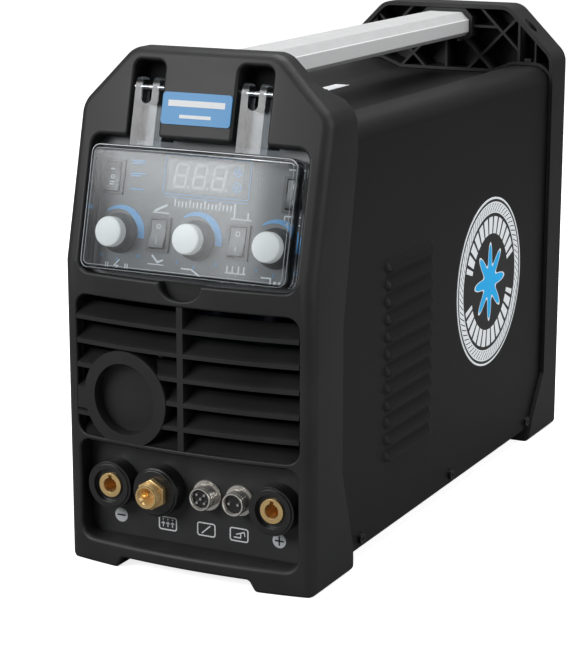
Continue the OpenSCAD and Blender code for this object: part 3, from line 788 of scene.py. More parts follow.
def inset(corners: Sequence[Point], by: Sequence[float] | float) -> list[Point]:
    """Moves each side of an outline inwards, its roundings with it.

    Args:
        corners: each corner's x, y and radius, counter-clockwise.
        by: how far each side moves, from its corner to the next; negative is outwards.

    Returns:
        The new corners.
    """
    count = len(corners)
    steps = [by] * count if isinstance(by, (int, float)) else by
    lines = []
    for (x, y, _), (ahead, above, _), step in zip(corners, [*corners[1:], corners[0]], steps):
        side = Vector((ahead - x, above - y)).normalized()
        lines.append((Vector((x, y)) + Vector((-side.y, side.x)) * step, side))
    moved = []
    for i, (_, _, r) in enumerate(corners):
        (start, along), (other, ahead) = lines[i - 1], lines[i]
        turned = along.cross(ahead)
        place = start + along * ((other - start).cross(ahead) / turned)
        change = (steps[i - 1] + steps[i]) / 2 * math.copysign(1, turned)
        moved.append((place.x, place.y, max(0.3, r - change)))
    return moved


def loop_points(corners: Sequence[Point]) -> list[Vector]:
    """The points of a rounded outline, in order."""
    bm = bmesh.new()
    outline(bm, corners)
    points = [loop.vert.co.copy() for loop in bm.faces[:][0].loops]
    bm.free()
    return points


def partners(rim: Edges, base: Sequence[Point], true: Sequence[Point]) -> Placed:
    """Finds where each point of a flat rim belongs on the outline that it is rounded over to.

    Args:
        rim: the flat sheet's rim.
        base: the corners that the rim was laid with.
        true: the corners of the true outline.

    Returns:
        For each point of the rim its place on the true outline.
    """
    here, there = loop_points(base), loop_points(true)
    count = len(here)

    def apart(turned: int) -> float:
        """How far apart the outlines lie when the true one starts turned points later."""
        return sum((p - there[(i + turned) % count]).length for i, p in enumerate(here))

    shift = min(range(count), key=apart)
    found = {}
    for vert in {v for e in rim for v in e.verts}:
        best = math.inf
        for i, start in enumerate(here):
            end = here[(i + 1) % count]
            share = min(1.0, max(0.0, intersect_point_line(vert.co, start, end)[1]))
            gap = (vert.co - start.lerp(end, share)).length
            if gap < best:
                best = gap
                found[vert] = there[(i + shift) % count].lerp(there[(i + 1 + shift) % count], share)
    return found


def roll_over(bm: bmesh.types.BMesh, rim: Edges, corners: Placed,
              back: Callable[[Vector], Vector]) -> Edges:
    """Extrudes a rim round a quarter turn.

    Args:
        bm: the bmesh.
        rim: the edges of the rim.
        corners: for each point of the rim the sharp corner that is rounded off.
        back: gives the direction of the wall that follows.

    Returns:
        The new rim.
    """
    plan = {v: (v.co.copy(), c, c + back(c) * (c - v.co).length) for v, c in corners.items()}
    for step in range(1, ROLL_STEPS + 1):
        share = step / ROLL_STEPS
        a, b, c = (1 - share) ** 2, math.sqrt(2) * share * (1 - share), share**2
        made = bmesh.ops.extrude_edge_only(bm, edges=rim)["geom"]
        moved = {}
        for vert in (g for g in made if isinstance(g, bmesh.types.BMVert)):
            near = (e.other_vert(vert) for e in vert.link_edges)
            known = moved[vert] = next(plan[v] for v in near if v in plan)
            vert.co = (known[0] * a + known[1] * b + known[2] * c) / (a + b + c)
        plan = moved
        rim = [g for g in made if isinstance(g, bmesh.types.BMEdge) and g.is_boundary
               and all(v in moved for v in g.verts)]
    return rim


def draw_back(bm: bmesh.types.BMesh, rim: Edges, move: Callable[[Vector], Vector]) -> None:
    """Extrudes a rim and moves its new points.

    Args:
        bm: the bmesh.
        rim: the edges to extrude.
        move: gives each new point's place from where it starts.
    """
    made = bmesh.ops.extrude_edge_only(bm, edges=rim)["geom"]
    for vert in (g for g in made if isinstance(g, bmesh.types.BMVert)):
        vert.co = move(vert.co)


def look_out(bm: bmesh.types.BMesh, way: Point) -> None:
    """Turns a sheet's faces alike, so that the largest one square to way looks along it."""
    bmesh.ops.recalc_face_normals(bm, faces=bm.faces[:])
    along = Vector(way)
    largest = max(bm.faces, key=lambda f: f.calc_area() * abs(f.normal.dot(along)))
    if largest.normal.dot(along) < 0:
        bmesh.ops.reverse_faces(bm, faces=bm.faces[:])


def absorb(bm: bmesh.types.BMesh, part: bmesh.types.BMesh, place: Matrix = Matrix()) -> None:
    """Moves a part's mesh into bm, at a place; the part is used up."""
    part.transform(place)
    mesh = bpy.data.meshes.new("part")
    part.to_mesh(mesh)
    part.free()
    bm.from_mesh(mesh)
    bpy.data.meshes.remove(mesh)


def block(bm: bmesh.types.BMesh, low: Point, high: Point, bevel: float = 0.0,
          place: Matrix = Matrix()) -> None:
    """Adds a box with softened edges.

    Args:
        bm: the bmesh.
        low: its lowest corner.
        high: its highest corner.
        bevel: the width of its edge rounding.
        place: where to put it.
    """
    size = Vector(high) - Vector(low)
    centre = (Vector(high) + Vector(low)) / 2
    part = bmesh.new()
    bmesh.ops.create_cube(part, size=1,
                          matrix=Matrix.Translation(centre) @ Matrix.Diagonal((*size, 1)))
    if bevel:
        bmesh.ops.bevel(part, geom=part.edges[:], offset=bevel, offset_type="OFFSET", segments=2,
                        profile=0.5, affect="EDGES", material=-1)
    absorb(bm, part, place)


def turn(bm: bmesh.types.BMesh, profile: Sequence[Flat], place: Matrix) -> None:
    """Adds a turned shape.

    Args:
        bm: the bmesh.
        profile: radius and height of each point of its half section, along Z.
        place: where to put it.
    """
    part = bmesh.new()
    points = [part.verts.new((r, 0, h)) for r, h in profile]
    line = [part.edges.new(pair) for pair in zip(points, points[1:])]
    bmesh.ops.spin(part, geom=points + line, cent=(0, 0, 0), axis=(0, 0, 1), dvec=(0, 0, 0),
                   angle=2 * math.pi, steps=TURN_STEPS, use_merge=True)
    bmesh.ops.remove_doubles(part, verts=part.verts[:], dist=1e-4)
    bmesh.ops.recalc_face_normals(part, faces=part.faces[:])
    absorb(bm, part, place)


def raise_print(bm: bmesh.types.BMesh, verts: Sequence[bmesh.types.BMVert], thick: float) -> None:
    """Gives a flat patch at height thick its sides, down to zero.

    Args:
        bm: the bmesh.
        verts: the patch's points.
        thick: how far it stands out.
    """
    for vert in verts:
        vert.co.z = thick
    faces = list({f for v in verts for f in v.link_faces})
    made = bmesh.ops.extrude_face_region(bm, geom=faces, use_keep_orig=True)["geom"]
    dropped = [g for g in made if isinstance(g, bmesh.types.BMVert)]
    for vert in dropped:
        vert.co.z = 0.0
    sides = {f for v in [*verts, *dropped] for f in v.link_faces}
    bmesh.ops.recalc_face_normals(bm, faces=list(sides))


def stroke(bm: bmesh.types.BMesh, points: Sequence[Flat], width: float, thick: float = PRINT,
           closed: bool = False) -> None:
    """Draws a flat printed line through points in XY, raised to thick.

    Args:
        bm: the bmesh.
        points: the line's corners.
        width: how wide it is.
        thick: how far it stands out.
        closed: whether it ends where it starts.
    """
    line = [Vector(p) for p in points]
    if closed:
        line = [line[-1], *line, line[0], line[1]]
    last = len(line) - 1
    sides = [(b - a).normalized() for a, b in zip(line, line[1:])]
    made = bmesh.ops.create_grid(bm, x_segments=last - 2 * closed, y_segments=1, size=0.5)["verts"]
    for vert in made:
        i = round((vert.co.x + 0.5) * (last - 2 * closed)) + closed
        before, after = sides[max(0, i - 1)], sides[min(i, last - 1)]
        along = (before + after).normalized()
        out = Vector((-along.y, along.x)) * (width / 2 / max(0.5, along.dot(before)))
        cap = along * (width / 2 * ((i == last) - (i == 0)))
        vert.co.xy = line[i] + cap + (out if vert.co.y > 0 else -out)
    raise_print(bm, made, thick)


def wall_steps(thickness: float, even: bool = False) -> tuple[tuple[str, dict], ...]:
    """The modifiers that give a sheet its wall, inwards, and even shading."""
    wall = {"thickness": thickness * MM, "offset": -1.0, "use_even_offset": even}
    return ("SOLIDIFY", wall), ("WEIGHTED_NORMAL", {"keep_sharp": True})


@dataclass
class Kit:
    """Turns finished bmeshes into pieces of the machine."""

    finishes: Finishes

    def piece(self, name: str, bm: bmesh.types.BMesh, finish: str, body: str = "machine",
              replaces: Sequence[str] = (), slot: str | None = None, smooth: float = 30.0,
              steps: Sequence[tuple[str, dict]] = ()) -> bpy.types.Object:
        """Brings a bmesh to metres and makes it a piece.

        Args:
            name: the piece's name.
            bm: its shape in the design's millimetres; it is used up.
            finish: the name of its finish.
            body: the CAD body that it rides on.
            replaces: CAD nodes that it stands for.
            slot: not used.
            smooth: edges flatter than this many degrees are shaded smooth.
            steps: modifiers, as their type and settings.

        Returns:
            The piece.
        """
        bm.transform(TO_ROW)
        for face in bm.faces:
            face.smooth = True
        for edge in bm.edges:
            edge.smooth = not edge.is_manifold or edge.calc_face_angle(0) < math.radians(smooth)
        mesh = bpy.data.meshes.new(name)
        bm.to_mesh(mesh)
        bm.free()
        mesh.materials.append(self.finishes[finish])
        made = bpy.data.objects.new(name, mesh)
        bpy.context.scene.collection.objects.link(made)
        self.finish(made, steps)
        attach(made, body)
        if replaces:
            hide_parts(*replaces)
        LOG.info("%s: %d faces on %s", name, len(mesh.polygons), body)
        return made

    @staticmethod
    def finish(made: bpy.types.Object, steps: Sequence[tuple[str, dict]]) -> None:
        """Adds modifiers in order.

        Args:
            made: the object.
            steps: each modifier's type and settings.
        """
        for kind, settings in steps:
            modifier = made.modifiers.new(kind.lower(), kind)
            for key, value in settings.items():
                setattr(modifier, key, value)

    def soften(self, node: str, width: float, segments: int = 2) -> None:
        """Rounds the edges of a carried-over CAD node, leaving its mesh alone.

        Args:
            node: the CAD node's name.
            width: the rounding's width in millimetres.
            segments: how many faces the rounding gets.
        """
        made = frame["nodes"][node]
        for polygon in made.data.polygons:
            polygon.use_smooth = True
        self.finish(made, (
            ("WELD", {"merge_threshold": 1e-6}),
            ("DECIMATE", {"decimate_type": "DISSOLVE", "angle_limit": math.radians(0.5)}),
            ("BEVEL", {"width": width * MM, "segments": segments, "limit_method": "ANGLE",
                       "angle_limit": math.radians(30), "use_clamp_overlap": True,
                       "harden_normals": False, "miter_outer": "MITER_ARC"}),
            ("WEIGHTED_NORMAL", {"keep_sharp": True, "weight": 60}),
        ))


# ---------------------------------------------------------------- the front


@dataclass
class FrontBezel:
    """The bowed and leaned front moulding with its openings, ribs and handle collar."""

    kit: Kit
    wall: float = 3.0
    top_up: float = 317.1
    panel_n: float = -9.3
    slot_n: float = -7.8
    plate_y: float = 12.0
    strip: float = 9.0
    level_up: float = 300.0
    rear_edge: tuple[Flat, ...] = ((0, 55), (14, 55), (66, 38.5), (157, 38.5), (258, 57),
                                   (295.9, 54), (296.1, 39.5), (330, 39.5))
    slot_x: float = 35.3
    notch_y: float = -1.5
    collar: tuple[tuple[Point, Point], ...] = (
        ((-20.8, 27, 289.4), (20.8, 39.5, 291.8)), ((-20.8, 27, 309.2), (20.8, 39.5, 311.6)),
        ((-20.8, 27, 290), (-18.4, 39.5, 311)), ((18.4, 27, 290), (20.8, 39.5, 311)))

    def edge_y(self, z: float) -> float:
        """The depth of the side wall's rear edge at a height."""
        for (z0, y0), (z1, y1) in zip(self.rear_edge, self.rear_edge[1:]):
            if z <= z1:
                return y0 + (y1 - y0) * (z - z0) / (z1 - z0)
        return self.rear_edge[-1][1]

    def outer(self) -> list[Point]:
        """The outline of the whole front, heights along the surface."""
        half = [(43.5, 7, 3), (47.5, 0, 3), (HALF_W, 0, 4), (HALF_W, 282.8, 14), (49, 317.1, 14)]
        return half + [(-x, y, r) for x, y, r in reversed(half)]

    def window(self) -> list[Point]:
        """The outline of the window, both hinge slots and the finger notch."""
        right = [(13.5, 183, 1.5), (72.5, 183, 7), (72.5, 265, 7), (46.3, 265, 2.4),
                 (46.3, 310.3, 5), (24.3, 310.3, 5), (24.3, 265, 2.4)]
        left = [(-x, y, r) for x, y, r in reversed(right)]
        return right + left + [(-13.5, 172.5, 12.4), (13.5, 172.5, 12.4)]

    def surface(self, x: float, up: float) -> Vector:
        """A point of the face; near the top it is drawn level to the top's height."""
        point = on_face(x, up)
        top = KNEE_Z + (self.top_up - KNEE_Z) * math.cos(LEAN) + bow(x) * math.sin(LEAN)
        share = (up - self.level_up) / (self.top_up - self.level_up)
        point.z += min(1.0, max(0.0, share)) * (CAD_BOX[1][2] / MM - top)
        return point

    def build(self) -> None:
        """Builds the moulding in place of its CAD node."""
        straight, leaned = Vector((0, 1, 0)), Vector((0, math.cos(LEAN), -math.sin(LEAN)))
        walls = (
            (self.outer(), (2.2, 2.2, 6, 5, 4.4, 5, 6, 2.2, 2.2, 2.2)),
            (self.window(), [-2] * 4 + [-1.6] * 2 + [-2] * 2 + [-1.6] * 2 + [-2] * 3
             + [-1.5, -1.2, -1.5]),
            (box_corners(-75, 75, 81.5, 169, 8), (-0.8, -1.4, -1.2, -1.4)),
            (box_corners(-74, 74, 16, 79, 8), (-3.0, -2.2, -0.8, -2.2)),
        )
        moves = (lambda p: Vector((p.x, self.edge_y(p.z), p.z)), self.to_panel, self.to_plate,
                 self.to_plate)
        flats = [inset(*wall) for wall in walls]
        bm = bmesh.new()
        for flat in flats:
            outline(bm, flat)
        fill(bm)
        knee = KNEE_Z + 0.5
        slice_sheet(bm, [i * self.strip for i in range(-8, 9)],
                    (14, 19, 25, 32, 66, 157, knee, 260.1, 299.1, 299.4))
        found = rims(bm)
        plans = [partners(rim, flat, wall[0]) for rim, flat, wall in zip(found, flats, walls)]
        for vert in bm.verts:
            x, up, _ = vert.co
            if abs(up - knee) < 1e-3:
                up = KNEE_Z + KNEE_DRIFT * bow(x)
            vert.co = self.surface(x, up)
        for rim, plan, move in zip(found, plans, moves):
            corners = {v: self.surface(p.x, p.y) for v, p in plan.items()}
            high = leaned if move == self.to_panel else straight
            rolled = roll_over(bm, rim, corners,
                               lambda p, high=high: high if p.z > KNEE_Z - 2 else straight)
            draw_back(bm, rolled, move)
        look_out(bm, (0, -1, 0))
        self.kit.piece("front_bezel_shell", bm, "bezel_plastic", replaces=["front_bezel"],
                       smooth=40, steps=wall_steps(self.wall))
        self.back()

    def to_panel(self, point: Vector) -> Vector:
        """Moves a point of the window's rim back to the panel's plane."""
        local = SLOPE.inverted() @ point
        local.z = self.panel_n
        return SLOPE @ local

    def to_plate(self, point: Vector) -> Vector:
        """Moves a point of a lower opening's rim back to the grille's plane."""
        return Vector((point.x, self.plate_y, point.z))

    def back(self) -> None:
        """Adds the slot floors, near black as painted shade, the notch floor, the ribs and the
        collar.
        """
        bm = bmesh.new()
        for side in (-1, 1):
            x = side * self.slot_x
            block(bm, (x - 12, 76, self.slot_n - 1.2), (x + 12, 123, self.slot_n), 0, SLOPE)
        # the slot floors' finish is painted shade
        self.kit.piece("hinge_slot_floors", bm, "painted_slot_shade", slot="bezel_plastic")
        bm = bmesh.new()
        for side in (-1, 1):
            block(bm, (side * 56.5 - 0.9, 30, 268), (side * 56.5 + 0.9, 52, 296), 0.3)
            block(bm, (side * 69 - 0.9, 28, 262), (side * 69 + 0.9, 54, 285), 0.3)
            for lean, x, z, long in ((45, 52, 287, 34), (-45, 57, 281, 36), (-45, 30, 281.5, 34)):
                place = (Matrix.Translation((side * x, 30, z))
                         @ Matrix.Rotation(math.radians(side * lean), 4, "Y"))
                block(bm, (-long / 2, 9, -0.9), (long / 2, 16, 0.9), 0.3, place)
        floor = bmesh.new()
        bmesh.ops.create_circle(floor, cap_ends=True, radius=15, segments=40)
        bmesh.ops.bisect_plane(floor, geom=floor.verts[:] + floor.edges[:] + floor.faces[:],
                               dist=1e-4, plane_co=(0, -1.5, 0), plane_no=(0, 1, 0),
                               clear_outer=True)
        absorb(bm, floor, facing(self.notch_y) @ Matrix.Translation((0, 184, 0)))
        self.kit.piece("front_bezel_back", bm, "bezel_plastic")
        bm = bmesh.new()
        for low, high in self.collar:
            block(bm, low, high, 0.4)
        self.kit.piece("front_handle_collar", bm, "bezel_plastic")


@dataclass
class Guard:
    """The clear tray over the panel and the two arms that it hangs on."""

    kit: Kit
    half: float = 69.0
    low: float = -3.4
    high: float = 71.5
    proud: float = 4.7
    rim_n: float = -5.5
    wall: float = 2.2
    fillet: float = 2.5
    top_fillet: float = 5.0
    arm_x: float = 35.3
    arm_low_n: float = -3.0
    arm_thick: float = 9.2
    fork_s: float = 107.0
    top_s: float = 112.4
    hinge_n: float = 1.5

    def build(self) -> None:
        """Builds the guard in place of its CAD node."""
        true = box_corners(-self.half, self.half, self.low, self.high, 6)
        base = inset(true, (self.fillet, self.fillet, self.top_fillet, self.fillet))
        bm = bmesh.new()
        outline(bm, base)
        fill(bm)
        slice_sheet(bm, [i * 9 for i in range(-7, 8)])
        rim = rims(bm)[0]
        corners = {v: Vector((p.x, p.y, bow(p.x) + self.proud))
                   for v, p in partners(rim, base, true).items()}
        for vert in bm.verts:
            vert.co.z = bow(vert.co.x) + self.proud
        rolled = roll_over(bm, rim, corners, lambda _: Vector((0, 0, -1)))
        draw_back(bm, rolled, lambda p: Vector((p.x, p.y, self.rim_n)))
        look_out(bm, (0, 0, 1))
        bm.transform(SLOPE)
        self.kit.piece("guard_tray", bm, "clear_guard", "guard", ["guard"], smooth=40,
                       steps=wall_steps(self.wall, even=True))
        self.edge()
        bm = bmesh.new()
        for side in (-1, 1):
            self.arm(bm, side * self.arm_x)
        rounding = {"width": 1.0 * MM, "segments": 3, "limit_method": "ANGLE",
                    "angle_limit": math.radians(40)}
        self.kit.piece("guard_arms", bm, "clear_arm", "guard", slot="clear_guard",
                       steps=(("BEVEL", rounding), ("WEIGHTED_NORMAL", {"keep_sharp": True})))

    def edge(self) -> None:
        """Adds painted highlights: pale lines inside the wall, round the tray's front edge,
        standing in for light caught by its fillets.
        """
        bm = bmesh.new()
        middle = (self.low + self.high) / 2
        for inside, width in ((0.9, 0.45), (2.9, 0.25)):
            frame_line(bm, (0, middle),
                       (2 * (self.half - inside), self.high - self.low - 2 * inside),
                       6 - inside, width)
        bmesh.ops.subdivide_edges(bm, edges=[e for e in bm.edges if e.calc_length() > 20], cuts=14)
        for vert in bm.verts:
            vert.co.z += bow(vert.co.x) + self.proud - 1.3
        bm.transform(SLOPE)
        self.kit.piece("guard_painted_edge_highlight", bm, "painted_edge_highlight", "guard", slot="clear_guard")

    def arm(self, bm: bmesh.types.BMesh, x: float) -> None:
        """Adds one arm: a flat bar with a forked top, rounded over its hinge pin.

        Args:
            bm: the bmesh to add to.
            x: where the arm stands.
        """
        low, top = self.high + 0.2, self.top_s
        part = bmesh.new()
        outline(part, [(-8, low, 0), (8, low, 0), (8, top, 1.2), (3.4, top, 0.6),
                       (3.4, 96.5, 3.2), (-3.4, 96.5, 3.2), (-3.4, top, 0.6), (-8, top, 1.2)])
        raised = bmesh.ops.extrude_face_region(part, geom=part.faces[:])["geom"]
        bmesh.ops.translate(part, vec=(0, 0, self.arm_thick),
                            verts=[g for g in raised if isinstance(g, bmesh.types.BMVert)])
        bmesh.ops.recalc_face_normals(part, faces=part.faces[:])
        bmesh.ops.translate(part, vec=(0, 0, self.arm_low_n), verts=part.verts[:])
        for up in (self.fork_s, 109.5, 111.2):
            cut(part, (0, up, 0), (0, 1, 0))
        for vert in part.verts:
            over = (vert.co.y - self.fork_s) / (top - self.fork_s)
            if over > 0:
                half = vert.co.z - self.hinge_n
                vert.co.z = self.hinge_n + half * math.sqrt(max(0.12, 1 - over * over * 0.9))
        absorb(bm, part, SLOPE @ Matrix.Translation((x, 0, 0)))


def ring_patch(bm: bmesh.types.BMesh, centre: Flat, inner: Callable[[float], float],
               outer: float, start: float, end: float, steps: int = 40) -> None:
    """Adds a curved flat band whose inner edge may taper.

    Args:
        bm: the bmesh to add to.
        centre: the middle of the curve in XY.
        inner: gives the inner radius from 0 at the start to 1 at the end.
        outer: the outer radius.
        start: the angle of its start in degrees.
        end: the angle of its end in degrees.
        steps: how many cells long it is.
    """
    made = bmesh.ops.create_grid(bm, x_segments=steps, y_segments=1, size=0.5)["verts"]
    for vert in made:
        share = vert.co.x + 0.5
        r = outer if vert.co.y > 0 else inner(share)
        angle = math.radians(start + (end - start) * share)
        vert.co.xy = (centre[0] + r * math.cos(angle), centre[1] + r * math.sin(angle))
    raise_print(bm, made, PRINT)


def disc(bm: bmesh.types.BMesh, x: float, y: float, r: float, thick: float = PRINT) -> None:
    """Adds a flat printed dot."""
    bmesh.ops.create_cone(bm, cap_ends=True, segments=32, radius1=r, radius2=r, depth=thick,
                          matrix=Matrix.Translation((x, y, thick / 2)))


def ring(bm: bmesh.types.BMesh, x: float, y: float, r: float, width: float) -> None:
    """Adds a printed circle line."""
    ring_patch(bm, (x, y), lambda _: r - width, r, 0, 360, steps=36)


def frame_line(bm: bmesh.types.BMesh, middle: Flat, size: Flat, r: float, line: float) -> None:
    """Adds the outline of a rounded box, printed.

    Args:
        bm: the bmesh to add to.
        middle: the middle of the box in XY.
        size: its width and height.
        r: the radius of its corners.
        line: the width of the line.
    """
    points: list[Flat] = []
    for quarter, (side, up) in enumerate(((1, 1), (-1, 1), (-1, -1), (1, -1))):
        x = middle[0] + side * (size[0] / 2 - r)
        y = middle[1] + up * (size[1] / 2 - r)
        for step in range(6):
            angle = math.radians(quarter * 90 + step * 18)
            points.append((x + r * math.cos(angle), y + r * math.sin(angle)))
    stroke(bm, points, line, closed=True)


def numeral(bm: bmesh.types.BMesh, text: str, x: float, y: float, size: float) -> None:
    """Adds a dial number, centred on a point.

    Args:
        bm: the bmesh to add to.
        text: the number.
        x: its middle across.
        y: its middle up.
        size: its letter height in millimetres.
    """
    curve = bpy.data.curves.new("numeral", "FONT")
    curve.body, curve.size, curve.align_x, curve.align_y = text, size * 1.35, "CENTER", "CENTER"
    curve.extrude, curve.resolution_u = 0.075, 3
    made = bpy.data.objects.new("numeral", curve)
    bpy.context.scene.collection.objects.link(made)
    posed = made.evaluated_get(bpy.context.evaluated_depsgraph_get())
    mesh = bpy.data.meshes.new_from_object(posed)
    mesh.transform(Matrix.Translation((x, y, 0.075)))
    bm.from_mesh(mesh)
    bpy.data.meshes.remove(mesh)
    bpy.data.objects.remove(made)
    bpy.data.curves.remove(curve)


@dataclass
class Panel:
    """What is printed on the panel, its display and its knobs and rocker marks."""

    kit: Kit
    face_n: float = -9.3
    knob_s: float = 19.7
    knobs: tuple[tuple[str, float], ...] = (("current", -52.5), ("slope", 0.0), ("gas", 52.5))
    rockers: tuple[tuple[str, float, float, float], ...] = (
        ("process", -25.4, 21.0, -8), ("trigger", 27.7, 21.0, -8), ("start", -60.5, 52.8, 0),
        ("remote", 61.3, 51.2, -8))
    rocker_half: float = 8.3
    rocker_rise: float = 1.2
    mark_s: float = 4.6
    skirt: tuple[Flat, ...] = (
        (0, -9), (2.9, -9), (2.9, 0.5), (11.6, 0.5), (11.95, 0.8), (11.95, 2.0), (11.6, 2.5),
        (10.3, 3.4), (9.9, 4.2), (9.7, 7.6), (9.3, 8.05), (0, 8.05))
    cap: tuple[Flat, ...] = (
        (0, 8.05), (8.7, 8.05), (9.0, 8.3), (9.0, 13.3), (8.85, 13.8), (8.5, 14.15), (8.0, 14.3),
        (0, 14.3))

    def place(self, lift: float = 0.0) -> Matrix:
        """The panel's face, raised by lift."""
        return SLOPE @ Matrix.Translation((0, 0, self.face_n + lift))

    def build(self) -> None:
        """Builds every printed and turning piece of the panel."""
        self.arcs()
        self.pictograms()
        self.display()
        for name, x in self.knobs:
            self.knob(name, x)
        for name, x, s, tilt in self.rockers:
            self.rocker_marks(name, x, s, tilt)
            self.kit.soften(f"{name}_switch_button", 0.35)
            self.kit.soften(f"{name}_switch_housing", 0.3)

    def arcs(self) -> None:
        """Draws the blue bands round the knobs, their numbers and the display's frame."""
        bm = bmesh.new()
        for _, x in self.knobs:
            ring_patch(bm, (x, self.knob_s), lambda u: 15.7 - 3.4 * min(1, u * 1.6), 16.8, 128, -8)
            for text, dx, dy in (("0", -11.5, -14.0), ("5", 0.0, -16.2), ("10", 14.0, -13.0)):
                numeral(bm, text, x + dx, self.knob_s + dy, 2.6)
        frame_line(bm, (2.5, 57.1), (57, 23), 1.2, 0.45)
        stroke(bm, [(-24, 43.8), (31, 43.8)], 0.35)
        for s, long in ((63.5, 8), (62.0, 8), (56.0, 9), (54.5, 6), (46.5, 9)):
            stroke(bm, [(-48.5, s), (-48.5 + long, s)], 0.7)
        bm.transform(self.place())
        self.kit.piece("panel_blue_print", bm, "print_blue", slot="plate_plastic")

    def pictograms(self) -> None:
        """Draws plain white pictograms where the controls need a label."""
        bm = bmesh.new()
        line = 0.75
        # current: a bolt over a bar
        stroke(bm, [(-51, 3.6), (-54, 0.2), (-51.4, 0.2), (-54.4, -3.0)], line)
        for dx in (-7.5, -6, 6, 7.5):
            stroke(bm, [(-52.5 + dx, -1.8), (-52.5 + dx, 1.4)], line)
        # down slope: a level line that falls away
        stroke(bm, [(-8, 2.4), (-1.5, 2.4), (6.5, -2.2), (9, -2.2)], 0.9)
        stroke(bm, [(-8, -2.6), (3, -2.6)], 0.5)
        # gas after the arc: a level line and three drops
        stroke(bm, [(45, 2.2), (51, 2.2), (51, -2.0)], 0.9)
        for dx in (0, 3, 6):
            disc(bm, 54 + dx, -0.2, 1.0)
        # stick electrode over torch
        stroke(bm, [(-29.5, 35.2), (-22.5, 38.6)], 1.3)
        stroke(bm, [(-31, 34.0), (-20.5, 34.0)], 0.6)
        stroke(bm, [(-28.5, 8.2), (-24.6, 4.6), (-21.5, 6.0)], 1.2)
        stroke(bm, [(-31, 3.2), (-20.5, 3.2)], 0.6)
        # two-step and four-step trigger
        for s, edges in ((36.0, (-4.5, 4.5)), (4.6, (-5.5, -2, 2, 5.5))):
            stroke(bm, [(27.7 - 6.5, s - 1.8), (27.7 + 6.5, s - 1.8)], 0.6)
            for dx in edges:
                stroke(bm, [(27.7 + dx, s - 1.4), (27.7 + dx, s + 2.0)], 0.9)
        # pedal over panel
        stroke(bm, [(56, 65.5), (66.5, 65.5), (57.5, 69.0)], 1.1)
        frame_line(bm, (61.3, 36.4), (11, 4.6), 0.8, 0.8)
        # graduated rule under the display
        for i in range(17):
            stroke(bm, [(-17 + i * 2.5, 38.8), (-17 + i * 2.5, 41.4 if i % 4 else 42.6)], 0.95)
        bm.transform(self.place())
        self.kit.piece("panel_white_print", bm, "print_white", slot="plate_plastic")

    def display(self) -> None:
        """Draws the three unlit digits and the two status rings on the display window."""
        bm = bmesh.new()
        width, half, line, slant, middle, thick = 7.6, 6.6, 1.8, 0.12, 57, 0.12
        level = [((1, y), (width - 1, y)) for y in (half, 0, -half)]
        upright = [((x, y), (x, y + half - 2)) for x in (0, width) for y in (1, 1 - half)]
        for x in (-18.6, -5.9, 6.8):
            for ends in level + upright:
                stroke(bm, [(x + dx + dy * slant, middle + dy) for dx, dy in ends], line, thick)
            disc(bm, x + width + 1.6, middle - half, 0.8, thick)
        bm.transform(self.place(0.1))
        self.kit.piece("display_segments", bm, "segment_pale", slot="display_black")
        bm = bmesh.new()
        for s in (61.6, 52.6):
            ring(bm, 22.9, s, 2.9, 0.5)
        stroke(bm, [(21.6, 60.6), (22.9, 63.0), (24.2, 60.6), (21.6, 60.6)], 0.5)
        stroke(bm, [(22.9, 54.2), (22.9, 50.9)], 0.6)
        stroke(bm, [(21.5, 52.6), (24.3, 52.6)], 0.6)
        bm.transform(self.place(0.1))
        self.kit.piece("display_symbols", bm, "print_blue", slot="display_black")

    def knob(self, name: str, x: float) -> None:
        """Builds one knob: a waisted skirt with a pointer tick and a pale cap.

        Args:
            name: the first word of its body's name.
            x: where it stands.
        """
        place = self.place() @ Matrix.Translation((x, self.knob_s, 0))
        body = f"{name}_knob"
        bm = bmesh.new()
        turn(bm, self.skirt, place)
        self.kit.piece(f"{name}_knob_body", bm, "knob_black", body, [f"{name}_knob_skirt"])
        bm = bmesh.new()
        turn(bm, self.cap, place)
        self.kit.piece(f"{name}_knob_button", bm, "cap_white", body, [f"{name}_knob_cap"])
        bm = bmesh.new()
        block(bm, (-0.4, 9.65, 3.2), (0.4, 10.5, 6.6), 0.1,
              place @ Matrix.Rotation(math.radians(40), 4, "Z"))
        self.kit.piece(f"{name}_knob_pointer", bm, "print_grey", body, slot="cap_white")

    def rocker_marks(self, name: str, x: float, s: float, tilt: float) -> None:
        """Prints the ring and bar of one rocker.

        Args:
            name: the first word of its body's name.
            x: its middle across.
            s: its middle up the slope.
            tilt: how far it is tipped at rest, in degrees.
        """
        bm = bmesh.new()
        base = (self.place() @ Matrix.Translation((x, s, 0.3))
                @ Matrix.Rotation(math.radians(tilt), 4, "X"))
        lift = 1.4 + self.mark_s * self.rocker_rise / self.rocker_half + 0.01
        for end in (-1, 1):
            part = bmesh.new()
            if name == "start":
                for i in range(1 if end > 0 else 2):
                    stroke(part, [(-1.2, i * 1.5), (1.2, i * 1.5)], 0.5)
            elif end > 0:
                ring(part, 0, 0, 1.5, 0.45)
            else:
                stroke(part, [(0, -1.3), (0, 1.3)], 0.5)
            lean = math.atan2(self.rocker_rise, self.rocker_half) * end
            absorb(bm, part, base @ Matrix.Translation((0, end * self.mark_s, lift))
                   @ Matrix.Rotation(lean, 4, "X"))
        if name == "start":
            part = bmesh.new()
            ring(part, 0, 0, 1.3, 0.4)
            absorb(bm, part, base @ Matrix.Translation((0, 0, 1.55)))
        self.kit.piece(f"{name}_switch_marks", bm, "print_white", f"{name}_switch",
                       slot="switch_button")


